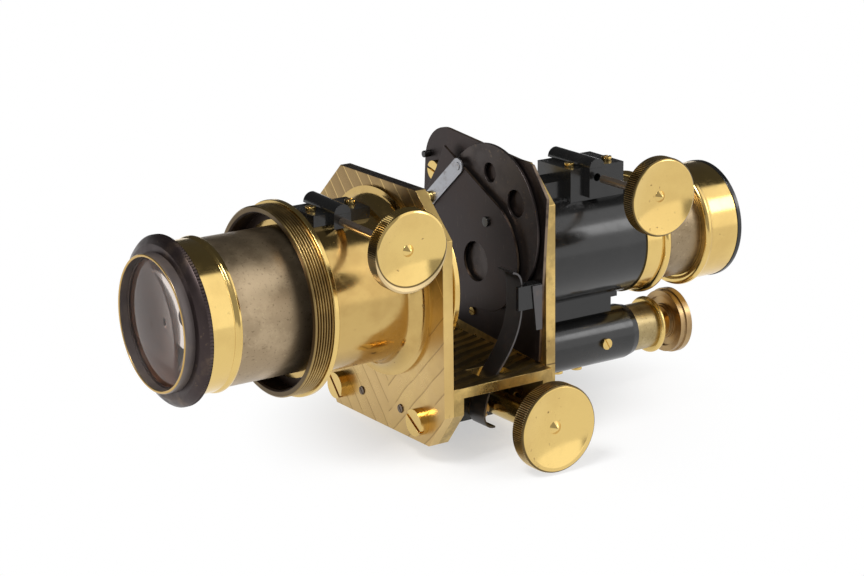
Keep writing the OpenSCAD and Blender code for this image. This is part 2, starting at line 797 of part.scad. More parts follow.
// strip of thickness t along a path
function normal_at(path, i) = let (a = path[max(i - 1, 0)], b = path[min(i + 1, len(path) - 1)],
    d = (b - a) / norm(b - a)) [-d[1], d[0]];
module strip(path, t) {
    n = len(path) - 1;
    polygon(concat([for (i = [0 : n]) path[i] + normal_at(path, i) * t / 2],
        [for (i = [n : -1 : 0]) path[i] - normal_at(path, i) * t / 2]));
}

module slide_clip() {
    x_face = x_clip_pin - clip_barrel_r;
    upper = bend([x_face - 4.6, block_top + 6.2], [x_face, block_top + 5.5], [x_face, block_top], 6);
    shank = bend([x_face, block_top - block_h], [x_face - 0.8, -25], [33.6, -38.5], 8);
    lower = bend([33.6, -38.5], [27.4, -48.4], [26.6, -56.4], 7);
    curl = bend([26.6, -56.4], [26.6, -62.6], [32.2, -62.4], 7);
    path = concat(upper, shank, [for (i = [1 : 7]) lower[i]], [for (i = [1 : 7]) curl[i]]);
    color(steel) difference() {
        union() {
            profile_y(leaf_y, leaf_w) strip(path, leaf_t);
            bar_y(clip_barrel_r, leaf_y, leaf_y + 4.2, x_clip_pin, z_clip_pin);
        }
        bar_y(clip_pin_r + run_fit, leaf_y - 1, leaf_y + 5, x_clip_pin, z_clip_pin);
    }
}

module clip_pivot() {
    color(steel) bar_y(clip_pin_r, y_block + 0.5, leaf_y + 4.6, x_clip_pin, z_clip_pin);
}

module pressure_leaf() {
    color(steel) profile_y(y_block - 0.7, 0.6)
        polygon([[x_block + 7, block_top - 0.4], [x_stage - 0.2, block_top - 0.4], [x_stage - 0.2, -21.5],
            [x_stage - 3.4, -21.5]]);
}

// ---------- limb and coarse focus ----------

module slide_block() {
    color(black) difference() {
        block([x_bay, block_y[0], coarse_pinion_z - (main_pitch_r + addendum + free + 0.6)],
            [x_leg2, block_y[1], -bridge_under]);
        bar_x(limb_r + run_fit, x_bay - 1, x_leg2 + 1, 0, -limb_drop);
        bar_y(shaft_r + run_fit, block_y[0] - 1, 8, coarse_pinion_x, coarse_pinion_z);
        bar_y(main_pitch_r + addendum + free, -pinion_w / 2 - free, pinion_w / 2 + free,
            coarse_pinion_x, coarse_pinion_z);
        bar_y(1.2 + seat, block_y[0] - 1, block_y[0] + 6, tension_at[0], tension_at[1]);
    }
}
tension_at = [coarse_pinion_x - 11, coarse_pinion_z - 0.6];

module pinion_sleeve() {
    color(brass) difference() {
        bar_y(sleeve_out_r, coarse_knob_y + coarse_knob_t + 4.2, block_y[0], coarse_pinion_x, coarse_pinion_z);
        bar_y(shaft_r + run_fit, coarse_knob_y, block_y[0] + 1, coarse_pinion_x, coarse_pinion_z);
    }
}

module tension_screw() {
    color("peru") difference() {
        union() {
            bar_y(4.2, block_y[0] - 4.6, block_y[0], tension_at[0], tension_at[1]);
            bar_y(1.2, block_y[0] - 0.1, block_y[0] + 5.4, tension_at[0], tension_at[1]);
        }
        translate([tension_at[0], block_y[0] - 4.6, tension_at[1]]) rotate([0, 30, 0])
            cube([12, 2.6, 1], center = true);
    }
}

module limb_tube() {
    color(dull) difference() {
        bar_x(limb_r, limb_front, limb_end, 0, -limb_drop);
        bar_x(limb_hole_r + run_fit, x_nut - 8, limb_end + 1, 0, -limb_drop);
        // flat under the bridge
        block([limb_front - 1, -limb_r - 1, -bridge_under - free], [x_back + 0.3, limb_r + 1, 0]);
        // rack teeth are cut in a flat along the underside
        block([limb_rack_x[0], -limb_r, -limb_drop - limb_r - 1],
            [limb_rack_x[1], limb_r, limb_rack_z + dedendum + rack_back - 0.01]);
        // slot for the fine focus drive screw
        block([x_nut + nut_len / 2 - 4.4, -limb_r - 1, -limb_drop - 1.7],
            [x_nut + nut_len / 2 + 4.4, 0, -limb_drop + 1.7]);
    }
    color(dull) profile_y(-rack_w / 2, rack_w) rack_outline(limb_rack_x[0], limb_rack_x[1], limb_rack_z,
        coarse_pinion_x, -1, rack_back);
}
limb_rack_x = [coarse_pinion_x - 27, coarse_pinion_x + 6];

module limb_flange() {
    color(brass) difference() {
        union() {
            bar_x(limb_r + 1.2, limb_end, limb_end + flange_w, 0, -limb_drop);
            bead_x(limb_r + 0.9, 1.5, limb_end + flange_w / 2, 0, -limb_drop);
        }
        bar_x(spindle_r + run_fit, limb_end - 1, limb_end + flange_w + 2, 0, -limb_drop);
    }
}

module coarse_pinion() {
    color(steel) {
        bar_y(shaft_r, coarse_knob_y + coarse_knob_t * 0.24 + 1.4, 7.8, coarse_pinion_x, coarse_pinion_z);
        pinion_y(main_teeth, coarse_pinion_x, coarse_pinion_z, -pinion_w / 2, pinion_w);
    }
}

module coarse_knob() {
    color(brass) knob(coarse_pinion_x, coarse_knob_y, coarse_pinion_z, coarse_knob_r, coarse_knob_t,
        shaft_r + seat / 2);
}

// ---------- body and fine focus ----------

module body_casting() {
    color(black) difference() {
        union() {
            bar_x(body_r, x_body, x_body_end);
            block([x_land, -7.5, body_r * 0.8], [x_body_end, 7.5, draw_rack_z + addendum + 2.4]);
            block([x_body, -web_w / 2, -limb_drop], [x_body + body_len - 4, web_w / 2, -body_r * 0.9]);
            block([x_body, -6.5, -body_r * 1.06], [x_body_end - 2, 6.5, -body_r * 0.9]);
            bar_x(sleeve_r, x_body, x_body + sleeve_len, 0, -limb_drop);
            cone_x(sleeve_r, limb_r + 1, x_body + sleeve_len, x_sleeve_end, 0, -limb_drop);
        }
        bar_x(body_in_r, x_body + nose_t, x_body_end + 1);
        bar_x(nose_seat_r, x_body - 1, x_body + nose_t + 1);
        bar_x(limb_r + run_fit, x_body - 1, x_sleeve_end + 1, 0, -limb_drop);
        // channel for the rack
        block([x_land + 4, -rack_w / 2 - free, 0],
            [x_body_end + 1, rack_w / 2 + free, draw_rack_z + addendum + free]);
        // pinion well under the pinion box
        block([rear_pinion_x - main_pitch_r - 1, -pinion_w / 2 - free, 0],
            [rear_pinion_x + main_pitch_r + 1, pinion_w / 2 + free, rear_pinion_z + 10]);
        block([rear_box_x[0] - seat, rear_box_y[0] - seat, body_r + 0.6],
            [rear_box_x[1] + seat, rear_box_y[1] + seat, rear_pinion_z + 10]);
        // hole of the drive screw and of the two underside screws
        bar_y(drive_screw_r + seat, -sleeve_r - 1, 0, x_nut + nut_len / 2, -limb_drop);
        for (x = under_screws) translate([x, 0, -limb_drop - sleeve_r - 1]) cylinder(r = 1.6 + seat, h = 3.2);
    }
}
nose_seat_r = 15;
drive_screw_r = 1.5;
under_screws = [x_body + 34, x_body + 45];

module nosepiece() {
    color(brass) difference() {
        union() {
            bar_x(nose_seat_r - seat, x_body, x_body + nose_t);
            bar_x(nose_seat_r + 3, x_body + nose_t, x_body + nose_t + 2.4);
        }
        bar_x(nose_hole_r, x_body - 1, x_body + nose_t + 4);
    }
}

module objective() {
    color(brass) difference() {
        union() {
            bar_x(nose_hole_r - seat, x_body - 0.4, x_body + nose_t + 2);
            bar_x(9.2, x_body - 3, x_body - 0.4);
            cone_x(5.2, 9.2, x_body - 5.6, x_body - 3);
            bar_x(11.5, x_body + nose_t + 2.4, x_body + nose_t + 18);
            bar_x(nose_hole_r - seat, x_body + nose_t + 1.9, x_body + nose_t + 2.5);
        }
        bar_x(3, x_body - 7, x_body + nose_t + 20);
        bar_x(8.2, x_body + 2, x_body + nose_t + 20);
    }
    color(glass) convex_lens(3, x_body - 3.4, x_body - 2.6, 0.5);
}

module rear_pinion_box() {
    color(black) difference() {
        union() {
            block([rear_box_x[0], rear_box_y[0], body_r * 0.86], [rear_box_x[1], rear_box_y[1], rear_box_top]);
            block([rear_pinion_x - arch_r, rear_nose_y, body_r * 0.95],
                [rear_pinion_x + arch_r, rear_box_y[0] + 0.01, rear_box_top]);
        }
        bar_x(body_r + seat, rear_box_x[0] - 1, rear_box_x[1] + 1);
        block([rear_box_x[0] - 1, -7.5 - seat, 0], [rear_box_x[1] + 1, 7.5 + seat, body_r + 0.6 + seat]);
        bar_y(shaft_r + run_fit, rear_nose_y - 1, rear_box_y[1] - 3, rear_pinion_x, rear_pinion_z);
        bar_y(main_pitch_r + addendum + free, -pinion_w / 2 - free, pinion_w / 2 + free,
            rear_pinion_x, rear_pinion_z);
        block([rear_box_x[0] - 1, -rack_w / 2 - free, 0],
            [rear_box_x[1] + 1, rack_w / 2 + free, draw_rack_z + addendum + free]);
        for (p = rear_box_holes)
            translate([p[0], p[1], rear_box_top - box_screw_depth[1] - 0.3]) cylinder(r = 1.15 + seat, h = 6);
    }
}

module rear_pinion_cap() {
    color(black) pinion_cap(rear_pinion_x, rear_box_top, rear_nose_y, rear_box_y[1] + 3,
        main_pitch_r + addendum, rear_pinion_z);
}

module rear_box_screws() {
    color(brass) box_screws(rear_box_holes, rear_box_top, box_screw_depth[1]);
}

module body_collar() {
    color(brass) difference() {
        union() {
            bar_x(body_r + 0.7, x_body_end, x_body_end + 11);
            bead_x(body_r + 0.6, 2.1, x_body_end + 11);
        }
        bar_x(body_in_r, x_body_end - 1, x_body_end + 16);
        block([x_body_end - 1, -rack_w / 2 - free, 0],
            [x_body_end + 2, rack_w / 2 + free, draw_rack_z + addendum + free]);
    }
}

module drive_nut() {
    color(brass) difference() {
        bar_x(limb_hole_r, x_nut, x_nut + nut_len, 0, -limb_drop);
        bar_x(spindle_r + run_fit, x_nut - 1, x_nut + nut_len + 1, 0, -limb_drop);
        bar_y(drive_screw_r + seat, -limb_hole_r - 1, -spindle_r - 1, x_nut + nut_len / 2, -limb_drop);
    }
}

module body_screws() {
    x = x_nut + nut_len / 2;
    color(brass) {
        difference() {
            union() {
                bar_y(drive_screw_r, -sleeve_r - 0.2, -limb_hole_r + 1.6, x, -limb_drop);
                bar_y(2.6, -sleeve_r - 1.7, -sleeve_r - 0.1, x, -limb_drop);
            }
            translate([x, -sleeve_r - 1.7, -limb_drop]) rotate([0, 60, 0]) cube([7, 1.2, 0.7], center = true);
        }
        for (u = under_screws) {
            translate([u, 0, -limb_drop - sleeve_r + 0.4]) cylinder(r = 1.6, h = 1.3);
            translate([u, 0, -limb_drop - sleeve_r - 1.3]) cylinder(r = 2.6, h = 1.2);
        }
    }
}

module fine_spindle() {
    color(brass) {
        bar_x(spindle_r, x_nut - 6, x_fine + 0.01, 0, -limb_drop);
        bar_x(spindle_r + 1.4, limb_end + flange_w + 0.1, x_fine, 0, -limb_drop);
    }
}

module fine_head() {
    z = -limb_drop;
    color("peru") difference() {
        union() {
            bar_x(fine_head_r, x_fine + fine_head_t - 3.6, x_fine + fine_head_t - 0.4, 0, z);
            bar_x(fine_head_r - 0.7, x_fine + 1, x_fine + fine_head_t, 0, z);
            bar_x(7.5, x_fine, x_fine + 2, 0, z);
        }
        tube_x(fine_head_r - 3.6, 8.2, x_fine, x_fine + 2.2, 0, z);
        cone_x(2, fine_head_r * 0.8, x_fine + fine_head_t - 1.4, x_fine + fine_head_t + 0.1, 0, z);
    }
}

// ---------- projection tube ----------

module draw_tube() {
    color(dull) difference() {
        bar_x(draw_r, x_body + 26, proj_reach + 6);
        bar_x(draw_r - draw_wall, x_body + 25, proj_reach + 7);
        block([draw_rack_x[0], -rack_w / 2, 0], [draw_rack_x[1], rack_w / 2, draw_r + 1]);
    }
}
draw_rack_x = [rear_pinion_x - 9.5, rear_pinion_x + 16.5];

module draw_rack() {
    base = draw_r - draw_wall;
    color(dull) profile_y(-rack_w / 2, rack_w) rack_outline(draw_rack_x[0], draw_rack_x[1], draw_rack_z,
        rear_pinion_x, 1, draw_rack_z - dedendum - base);
}

module projection_cell() {
    color(brass) difference() {
        union() {
            bar_x(proj_cell_r, proj_reach + 1, proj_reach + proj_cell_len);
            bar_x(proj_cell_r + 0.5, proj_reach + 1, proj_reach + 5);
            bead_x(proj_cell_r - 0.4, 2.1, proj_reach + 2.2);
        }
        bar_x(draw_r + seat, proj_reach - 3, proj_reach + 6);
        bar_x(draw_r - draw_wall - 0.4, proj_reach - 3, proj_reach + proj_cell_len + 1);
        bar_x(draw_r, proj_reach + 8, proj_reach + proj_cell_len + 1);
    }
}

module projection_rim() {
    x = proj_reach + proj_cell_len;
    color(black) difference() {
        union() {
            bar_x(proj_cell_r + 0.3, x, x + 2.2);
            bar_x(draw_r - 0.05, x - 3, x + 0.1);
        }
        bar_x(draw_r - 3, x - 4, x + 3);
        cone_x(draw_r - 3, draw_r, x + 0.9, x + 2.3);
    }
}

module projection_lens() {
    color(glass) convex_lens(draw_r - 0.1, proj_reach + 11.2, proj_reach + 13.8, 2.6);
}

module rear_pinion_set() {
    color(steel) {
        bar_y(shaft_r, rear_knob_y + knob_t * 0.24 + 1.4, rear_box_y[1] - 3.2, rear_pinion_x, rear_pinion_z);
        pinion_y(main_teeth, rear_pinion_x, rear_pinion_z, -pinion_w / 2, pinion_w);
    }
    color(brass) knob(rear_pinion_x, rear_knob_y, rear_pinion_z, knob_r, knob_t, shaft_r + seat / 2);
}

placed() front_plate();
placed() bridge_bracket();
placed() rear_plate();
placed() condenser_jacket();
placed() lantern_collar();
placed() tail_ring();
placed() front_pinion_box();
placed() front_pinion_cap();
placed() front_box_screws();
placed() front_plate_screws();
placed() front_plate_pins();
placed() rear_plate_screws();
placed() stage_plate();
placed() stage_plate_screw();
placed() stage_stop_peg();
placed() cover_plate();
placed() cover_posts();
placed() cover_screws();
placed() wheel_pivot();
placed() detent_spring();
placed() detent_rivet();
placed() detent_screw();
placed() clip_block();
placed() pressure_leaf();
placed() slide_block();
placed() pinion_sleeve();
placed() tension_screw();
placed() diaphragm_wheel();
placed() slide_clip();
placed() clip_pivot();
placed() condenser_tube();
placed() condenser_rack();
placed() condenser_cell();
placed() lens_ring();
placed() lens_bezel();
placed() condenser_lens();
placed() condenser_back_lens();
placed() front_pinion();
placed() front_knob();
placed() limb_tube();
placed() limb_flange();
placed() coarse_pinion();
placed() coarse_knob();
placed() body_casting();
placed() nosepiece();
placed() objective();
placed() rear_pinion_box();
placed() rear_pinion_cap();
placed() rear_box_screws();
placed() body_collar();
placed() drive_nut();
placed() body_screws();
placed() fine_spindle();
placed() fine_head();
placed() draw_tube();
placed() draw_rack();
placed() projection_cell();
placed() projection_rim();
placed() projection_lens();
placed() rear_pinion_set();
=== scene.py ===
"""Looks of the lantern microscope attachment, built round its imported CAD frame."""

import json
import math

import bmesh
import bpy
from mathutils import Matrix, Vector


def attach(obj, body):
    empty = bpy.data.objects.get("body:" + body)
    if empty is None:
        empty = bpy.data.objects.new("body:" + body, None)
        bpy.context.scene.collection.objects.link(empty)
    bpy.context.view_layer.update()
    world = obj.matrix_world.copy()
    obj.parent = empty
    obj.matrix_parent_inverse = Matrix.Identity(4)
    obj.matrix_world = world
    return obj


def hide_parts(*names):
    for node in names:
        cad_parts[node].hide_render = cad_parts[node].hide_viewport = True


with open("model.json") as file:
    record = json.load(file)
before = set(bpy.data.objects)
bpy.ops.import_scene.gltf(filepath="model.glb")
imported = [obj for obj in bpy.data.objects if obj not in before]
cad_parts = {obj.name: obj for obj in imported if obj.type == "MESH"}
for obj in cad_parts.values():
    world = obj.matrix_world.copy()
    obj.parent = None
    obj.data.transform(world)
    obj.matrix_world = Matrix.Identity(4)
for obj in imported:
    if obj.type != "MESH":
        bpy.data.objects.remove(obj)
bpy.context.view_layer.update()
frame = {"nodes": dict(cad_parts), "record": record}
record = frame["record"]
BODY_OF = {node: body for body, nodes in record["behaviour"]["bodies"].items() for node in nodes}
MM = 0.001
PLATE_X = 53.2  # the front plate's face, in mm from the frame's origin
ROLL = math.radians(2.1)  # turn of the jacket's pinion about the optical axis
OPTICAL = (0, 0, 0)  # a point on the optical axis, in mm
LIMB = (0, 0, -46.8)  # a point on the limb's axis, in mm
WHEEL = (0, -8.59, 20.04)  # the diaphragm wheel's centre, in mm
RING_SCALE = 5200.0  # tool marks to a metre on a turned face
SOFT_RING_SCALE = 2600.0  # the same under enamel
ROUND_SCALE = 12.0  # how slowly the marks change round a turned part
HAIR = 0.00003  # depth of fine tool marks, in metres
SCRAPE = 0.00010  # depth of scraped lines, in metres
ENAMEL = 0.00005  # depth of the unevenness of enamel, in metres
SHEET = 0.00004  # depth of the grain of blacked sheet, in metres


# ---------------------------------------------------------------- shader maths


class Value:
    """A number that varies over a surface, used in ordinary arithmetic."""

    def __init__(self, finish, socket):
        self.finish = finish
        self.socket = socket

    def _maths(self, operation, first, second):
        return self.finish.node("ShaderNodeMath", {"operation": operation}, {0: first, 1: second})

    def __add__(self, other):
        return self._maths("ADD", self, other)

    __radd__ = __add__

    def __sub__(self, other):
        return self._maths("SUBTRACT", self, other)

    def __rsub__(self, other):
        return self._maths("SUBTRACT", other, self)

    def __mul__(self, other):
        return self._maths("MULTIPLY", self, other)

    __rmul__ = __mul__

    def __pow__(self, other):
        return self._maths("POWER", self, other)


class Finish:
    """One material under construction."""

    def __init__(self, name):
        self.material = bpy.data.materials.new(name)
        self.material.use_nodes = True
        self.tree = self.material.node_tree
        self.tree.nodes.clear()
        self.place = self.node("ShaderNodeTexCoord", out="Object")

    def node(self, kind, settings=None, sockets=None, out=0):
        """Adds a node: its settings first, then values or links for its sockets."""
        node = self.tree.nodes.new(kind)
        for key, value in (settings or {}).items():
            if key == "stops":
                ramp = node.color_ramp
                while len(ramp.elements) < len(value):
                    ramp.elements.new(0.5)
                for element, (position, colour) in zip(ramp.elements, value):
                    element.position = position
                    element.color = colour
            else:
                setattr(node, key, value)
        for key, value in (sockets or {}).items():
            if isinstance(value, Value):
                self.tree.links.new(value.socket, node.inputs[key])
            else:
                node.inputs[key].default_value = value
        return Value(self, node.outputs[out])

    def parts(self, vector):
        """The x, y and z of a vector as three values."""
        return [self.node("ShaderNodeSeparateXYZ", None, {0: vector}, out=i) for i in range(3)]

    def vector(self, x, y, z):
        return self.node("ShaderNodeCombineXYZ", None, {0: x, 1: y, 2: z})

    def noise(self, scale, detail=3.0, rough=0.55, where=None):
        sockets = {"Vector": where or self.place, "Scale": scale, "Detail": detail, "Roughness": rough}
        return self.node("ShaderNodeTexNoise", {"noise_dimensions": "3D"}, sockets)

    def streaks(self, scales, detail=3.0, rough=0.6):
        """Noise drawn out along an axis: scales are for x, y and z."""
        drawn = self.vector(*[part * scale for part, scale in zip(self.parts(self.place), scales)])
        return self.noise(1.0, detail, rough, drawn)

    def rings(self, axis, centre, scale=RING_SCALE):
        """The fine marks that a lathe leaves round an axis."""
        return self.noise(1.0, 2.0, 0.6, self.turning(axis, centre, scale))

    def sawtooth(self, value):
        """Rises from 0 to 1 with each whole number of value, and falls back at once."""
        return self.node("ShaderNodeMath", {"operation": "FRACT"}, {0: value})

    def between(self, value, low, high):
        """Smoothly 0 below low and 1 above high."""
        sockets = {"Value": value, "From Min": low, "From Max": high}
        return self.node("ShaderNodeMapRange", {"interpolation_type": "SMOOTHSTEP"}, sockets)

    def blend(self, amount, first, second):
        """Mixes two colours."""
        sockets = {0: amount, 6: first, 7: second}
        return self.node("ShaderNodeMix", {"data_type": "RGBA"}, sockets, out=2)

    def turning(self, axis, centre, scale):
        """Position in a turned part: along its axis and out from it, so that a noise makes rings."""
        sockets = {0: self.place, 1: tuple(c * MM for c in centre)}
        x, y, z = self.parts(self.node("ShaderNodeVectorMath", {"operation": "SUBTRACT"}, sockets))
        on_axis = {"X": x, "Y": y, "Z": z}[axis]
        first, second = {"X": (y, z), "Y": (x, z), "Z": (x, y)}[axis]
        radius = (first * first + second * second) ** 0.5
        return self.vector(on_axis * scale, radius * scale, first * ROUND_SCALE)

    def bump(self, height, strength, depth):
        sockets = {"Strength": strength, "Distance": depth, "Height": height}
        return self.node("ShaderNodeBump", None, sockets)

    def close(self, **sockets):
        """Ends the finish with the surface shader."""
        named = {key.replace("_", " "): value for key, value in sockets.items()}
        return self.surface(self.node("ShaderNodeBsdfPrincipled", None, named))

    def surface(self, shader):
        output = self.tree.nodes.new("ShaderNodeOutputMaterial")
        self.tree.links.new(shader.socket, output.inputs["Surface"])
        return self.material


def rgb(red, green, blue):
    return (red, green, blue, 1.0)


# ---------------------------------------------------------------- finishes

# colours; where one name has two, they are blended over the surface
BRIGHT_BRASS = rgb(0.74, 0.53, 0.19)
HONEY_BRASS = rgb(0.55, 0.36, 0.12)
BROWN_BRASS = rgb(0.19, 0.105, 0.038)
OLD_LACQUER = rgb(0.33, 0.20, 0.070)
# painted shade: dark umber for the front plate's top edge face and the collar's bore
PAINTED_SHADE_UMBER = rgb(0.045, 0.030, 0.022)
STAIN_AND_DARK_TOP = rgb(0.085, 0.054, 0.030)
# painted shade and painted light: the front plate is browner above the axis and paler below it, in place of
# its reflections
PAINTED_SHADE_UPPER_PLATE = rgb(0.27, 0.175, 0.070), rgb(0.42, 0.28, 0.115)
PAINTED_LIGHT_LOWER_PLATE = rgb(0.55, 0.375, 0.155), rgb(0.68, 0.475, 0.205)
FRESH_SCRAPE = rgb(0.84, 0.60, 0.25)
KNURL = rgb(0.075, 0.050, 0.022), rgb(0.86, 0.66, 0.36)
OLIVE = rgb(0.30, 0.205, 0.082), rgb(0.46, 0.32, 0.125)
THREAD_DIRT = rgb(0.055, 0.036, 0.020)
DRAW_TUBE = rgb(0.235, 0.174, 0.102), rgb(0.31, 0.235, 0.145)
CONDENSER_TUBE = rgb(0.34, 0.255, 0.158), rgb(0.45, 0.345, 0.220)
LIMB_TUBE = rgb(0.34, 0.26, 0.125), rgb(0.50, 0.40, 0.215)
DRAB_SPECK = rgb(0.11, 0.075, 0.042)
DRAB_GLINT = rgb(0.56, 0.46, 0.27)
TUBE_BORE = rgb(0.42, 0.23, 0.15)
LENS_RING = rgb(0.050, 0.036, 0.035), rgb(0.26, 0.18, 0.11)
WHEEL_BRONZE = rgb(0.058, 0.048, 0.046), rgb(0.13, 0.098, 0.080)
BRONZE_SPECK = rgb(0.24, 0.17, 0.11)
BEZEL = rgb(0.115, 0.095, 0.090), rgb(0.170, 0.135, 0.115)
BLACK_ENAMEL = rgb(0.007, 0.007, 0.007), rgb(0.030, 0.028, 0.027)
CHIPPED_BRASS = rgb(0.45, 0.31, 0.13)
BLACKED_SHEET = rgb(0.040, 0.031, 0.030), rgb(0.060, 0.043, 0.039)
# painted highlight along the sheets' cut edges
PAINTED_EDGE_HIGHLIGHT = rgb(0.25, 0.185, 0.130)
SHEET_SCRATCH = rgb(0.12, 0.092, 0.080)
SPRING_STEEL = rgb(0.42, 0.43, 0.46)
LEAF_STEEL = rgb(0.10, 0.095, 0.095)
SHAFT_STEEL = rgb(0.45, 0.36, 0.28)
SCREW_STEEL = rgb(0.17, 0.13, 0.10)
STEEL_STAIN = rgb(0.20, 0.15, 0.12)
COPPER = rgb(0.42, 0.285, 0.135), rgb(0.24, 0.155, 0.085)
GLASS = rgb(0.78, 0.70, 0.65)
PAPER = rgb(0.95, 0.95, 0.95)
WHITE = rgb(1, 1, 1)

# where one finish gives way to another: start and end, in metres
AXIS_LEVEL = -0.006, 0.006  # z between the upper and the lower scraped lines
V_SEAM = -0.0060, -0.0058  # y of the middle of their V
BEHIND_FACE = 0.05325, 0.05340  # x just behind the front plate's face
PLATE_TOP = 0.0456, 0.0459  # z of its top edge
BRIDGE_TOP = -0.0386, -0.0383  # z of the bridge's upper face
OVER_BRIDGE = -0.0380, -0.0376  # z just above it
THREAD_ROOT = 0.0404, 0.0410  # radius
COLLAR_LIP = 0.0040, 0.0043  # x
COLLAR_BORE = 0.0384, 0.0390  # radius
TUBE_WALL = 0.0305, 0.0308  # radius of the condenser tube's inner wall
TUBE_END = 0.055, 0.060  # x behind the condenser tube
BEZEL_LIP = -0.0586, -0.0583  # x


def brass(name, axis=None, centre=OPTICAL, tarnish=0.5, gloss=0.15, rings=0.12, extra=None):
    """Polished, lacquered brass with thin tarnish; turned parts get fine rings about their axis."""
    f = Finish(name)
    cloud = f.noise(38.0, 5.0, 0.6)
    patch = f.between(cloud, 0.40, 0.70) * tarnish
    fleck = f.between(f.noise(420.0, 2.0, 0.5), 0.68, 0.76) * f.between(f.noise(90.0), 0.42, 0.6)
    colour = f.blend(patch, BRIGHT_BRASS, HONEY_BRASS)
    colour = f.blend(fleck * 0.7, colour, BROWN_BRASS)
    if axis:
        height = f.rings(axis, centre) * 0.7 + f.noise(900.0, 2.0) * 0.3
        depth = rings
    else:
        height = f.streaks((9000.0, 260.0, 900.0))
        depth = rings * 0.6
    rough = gloss + patch * 0.12 + f.between(f.noise(240.0, 4.0), 0.45, 0.75) * 0.08 + fleck * 0.2
    normal = f.bump(height, depth, HAIR)
    if extra:
        colour, rough, normal = extra(f, colour, rough, normal)
    return f.close(Base_Color=colour, Metallic=1.0, Roughness=rough, Normal=normal)


COUNT_FROM = 40.0  # keeps a count of lines above zero all over a piece
LEFT_LINES, RIGHT_LINES = 0.0072, 0.0084  # spacing of the scraped lines either side of the V, in metres
STRIPES = 150.0  # scraped stripes to a metre on the bridge


def hand_lines(f, across, spacing, drift):
    """Lines left by hand scraping: (thin line, slow rise from one line to the next)."""
    wave = f.sawtooth(across * (1.0 / spacing) + COUNT_FROM + drift)
    return 1.0 - f.between(wave, 0.0, 0.12), f.between(wave, 0.0, 0.8)


def scraped_plate(f, colour, rough, normal):
    """Slanting scraped lines: fine bright ones above the axis, dark ones meeting in a V below it."""
    x, y, z = f.parts(f.place)
    drift = f.noise(16.0, 1.0) * 0.9 + f.noise(60.0, 1.0) * 0.16
    below = 1.0 - f.between(z, *AXIS_LEVEL)
    right_low = below * (1.0 - f.between(y, *V_SEAM))
    line_a, shade_a = hand_lines(f, y * 0.75 - z * 0.66, LEFT_LINES, drift)
    line_b, shade_b = hand_lines(f, y * 0.67 + z * 0.74, RIGHT_LINES, drift)
    face = 1.0 - f.between(x, *BEHIND_FACE)
    broken = f.between(f.noise(70.0, 2.0), 0.26, 0.46)
    line = (line_a * (1.0 - right_low) + line_b * right_low) * broken * face
    shade = (shade_a * (1.0 - right_low) + shade_b * right_low) * face
    # painted shade above the axis, where the plate is browner, and painted light below it, where it is paler
    brown = f.blend(shade * 0.25, *PAINTED_SHADE_UPPER_PLATE)
    painted_light_lower = f.blend(shade * 0.30, *PAINTED_LIGHT_LOWER_PLATE)
    worn = f.between(f.noise(45.0, 4.0), 0.42, 0.66)
    colour = f.blend(worn * 0.35 + (1.0 - face) * 0.5, f.blend(below, brown, painted_light_lower), colour)
    colour = f.blend(line * (1.0 - below) * 0.85, colour, FRESH_SCRAPE)
    colour = f.blend(line * below * 0.60, colour, BROWN_BRASS)
    # painted shade: the plate's top edge face is darkened to umber
    top = f.between(z, *PLATE_TOP)
    colour = f.blend(top * (1.0 - worn * 0.3), colour, PAINTED_SHADE_UMBER)
    slant = f.vector(x * 500.0, (y * 0.66 + z * 0.75) * 300.0, (y * 0.75 - z * 0.66) * 3000.0)
    height = f.noise(1.0, 3.0, 0.6, slant) * 0.4 - line - shade * 0.25
    sockets = {"Strength": 0.4, "Distance": SCRAPE, "Height": height, "Normal": normal}
    return colour, rough + 0.07 + top * 0.12, f.node("ShaderNodeBump", None, sockets)


def stains_and_dark_top(f, colour, rough, normal):
    """Bridge and rear plate: lacquer darkened in patches, and the bridge's upper face dark except along
    scraped stripes.
    """
    x, y, z = f.parts(f.place)
    wave = f.sawtooth((y * 0.93 - x * 0.36) * STRIPES + COUNT_FROM + f.noise(30.0, 1.0))
    stripe = f.between(wave, 0.30, 0.42) * (1.0 - f.between(wave, 0.70, 0.95))
    upper = f.between(z, *BRIDGE_TOP) * (1.0 - f.between(z, *OVER_BRIDGE))
    patches = f.between(f.noise(52.0, 5.0, 0.65), 0.40, 0.62)
    # the bridge's upper face is darkened all over except along the stripes, and other faces in patches
    dark = patches * (1.0 - upper) * 0.6 + upper * (1.0 - stripe * 0.8)
    return f.blend(dark * 0.85, colour, STAIN_AND_DARK_TOP), rough + dark * 0.16 + 0.04, normal


def browned(f, colour, rough, normal):
    """An older lacquer, a shade browner all over."""
    return f.blend(0.42, colour, OLD_LACQUER), rough, normal


def worn_knurl(centre, radius):
    """A knob's milled rim keeps its brown lacquer and dirt, while its dished face is rubbed bright."""

    def extra(f, colour, rough, normal):
        x, y, z = f.parts(f.place)
        dx, dz = x - centre[0] * MM, z - centre[1] * MM
        reach = (dx * dx + dz * dz) ** 0.5
        rim = f.between(reach, (radius - 1.0) * MM, (radius - 0.75) * MM)
        crest = f.between(reach, (radius - 0.30) * MM, (radius - 0.04) * MM)
        edge = f.blend(crest * 0.8, *KNURL)
        return f.blend(rim * 0.9, colour, edge), rough + rim * 0.20, normal

    return extra


def threads(f, colour, rough, normal):
    """The collar: olive-brown screw threads with dirt in their roots, a bright lip, and its bore darkened as
    painted shade.
    """
    x, y, z = f.parts(f.place)
    reach = (y * y + z * z) ** 0.5
    root = 1.0 - f.between(reach, *THREAD_ROOT)
    olive = f.blend(f.between(f.noise(60.0, 5.0), 0.4, 0.65), *OLIVE)
    olive = f.blend(root * 0.8, olive, THREAD_DIRT)
    lip = f.between(x, *COLLAR_LIP)
    # painted shade: the bore is blended to dark umber and made rougher
    bore = 1.0 - f.between(reach, *COLLAR_BORE)
    rough = rough + (1.0 - lip) * 0.14 + bore * 0.2
    return f.blend(bore, f.blend(lip, olive, colour), PAINTED_SHADE_UMBER), rough, normal


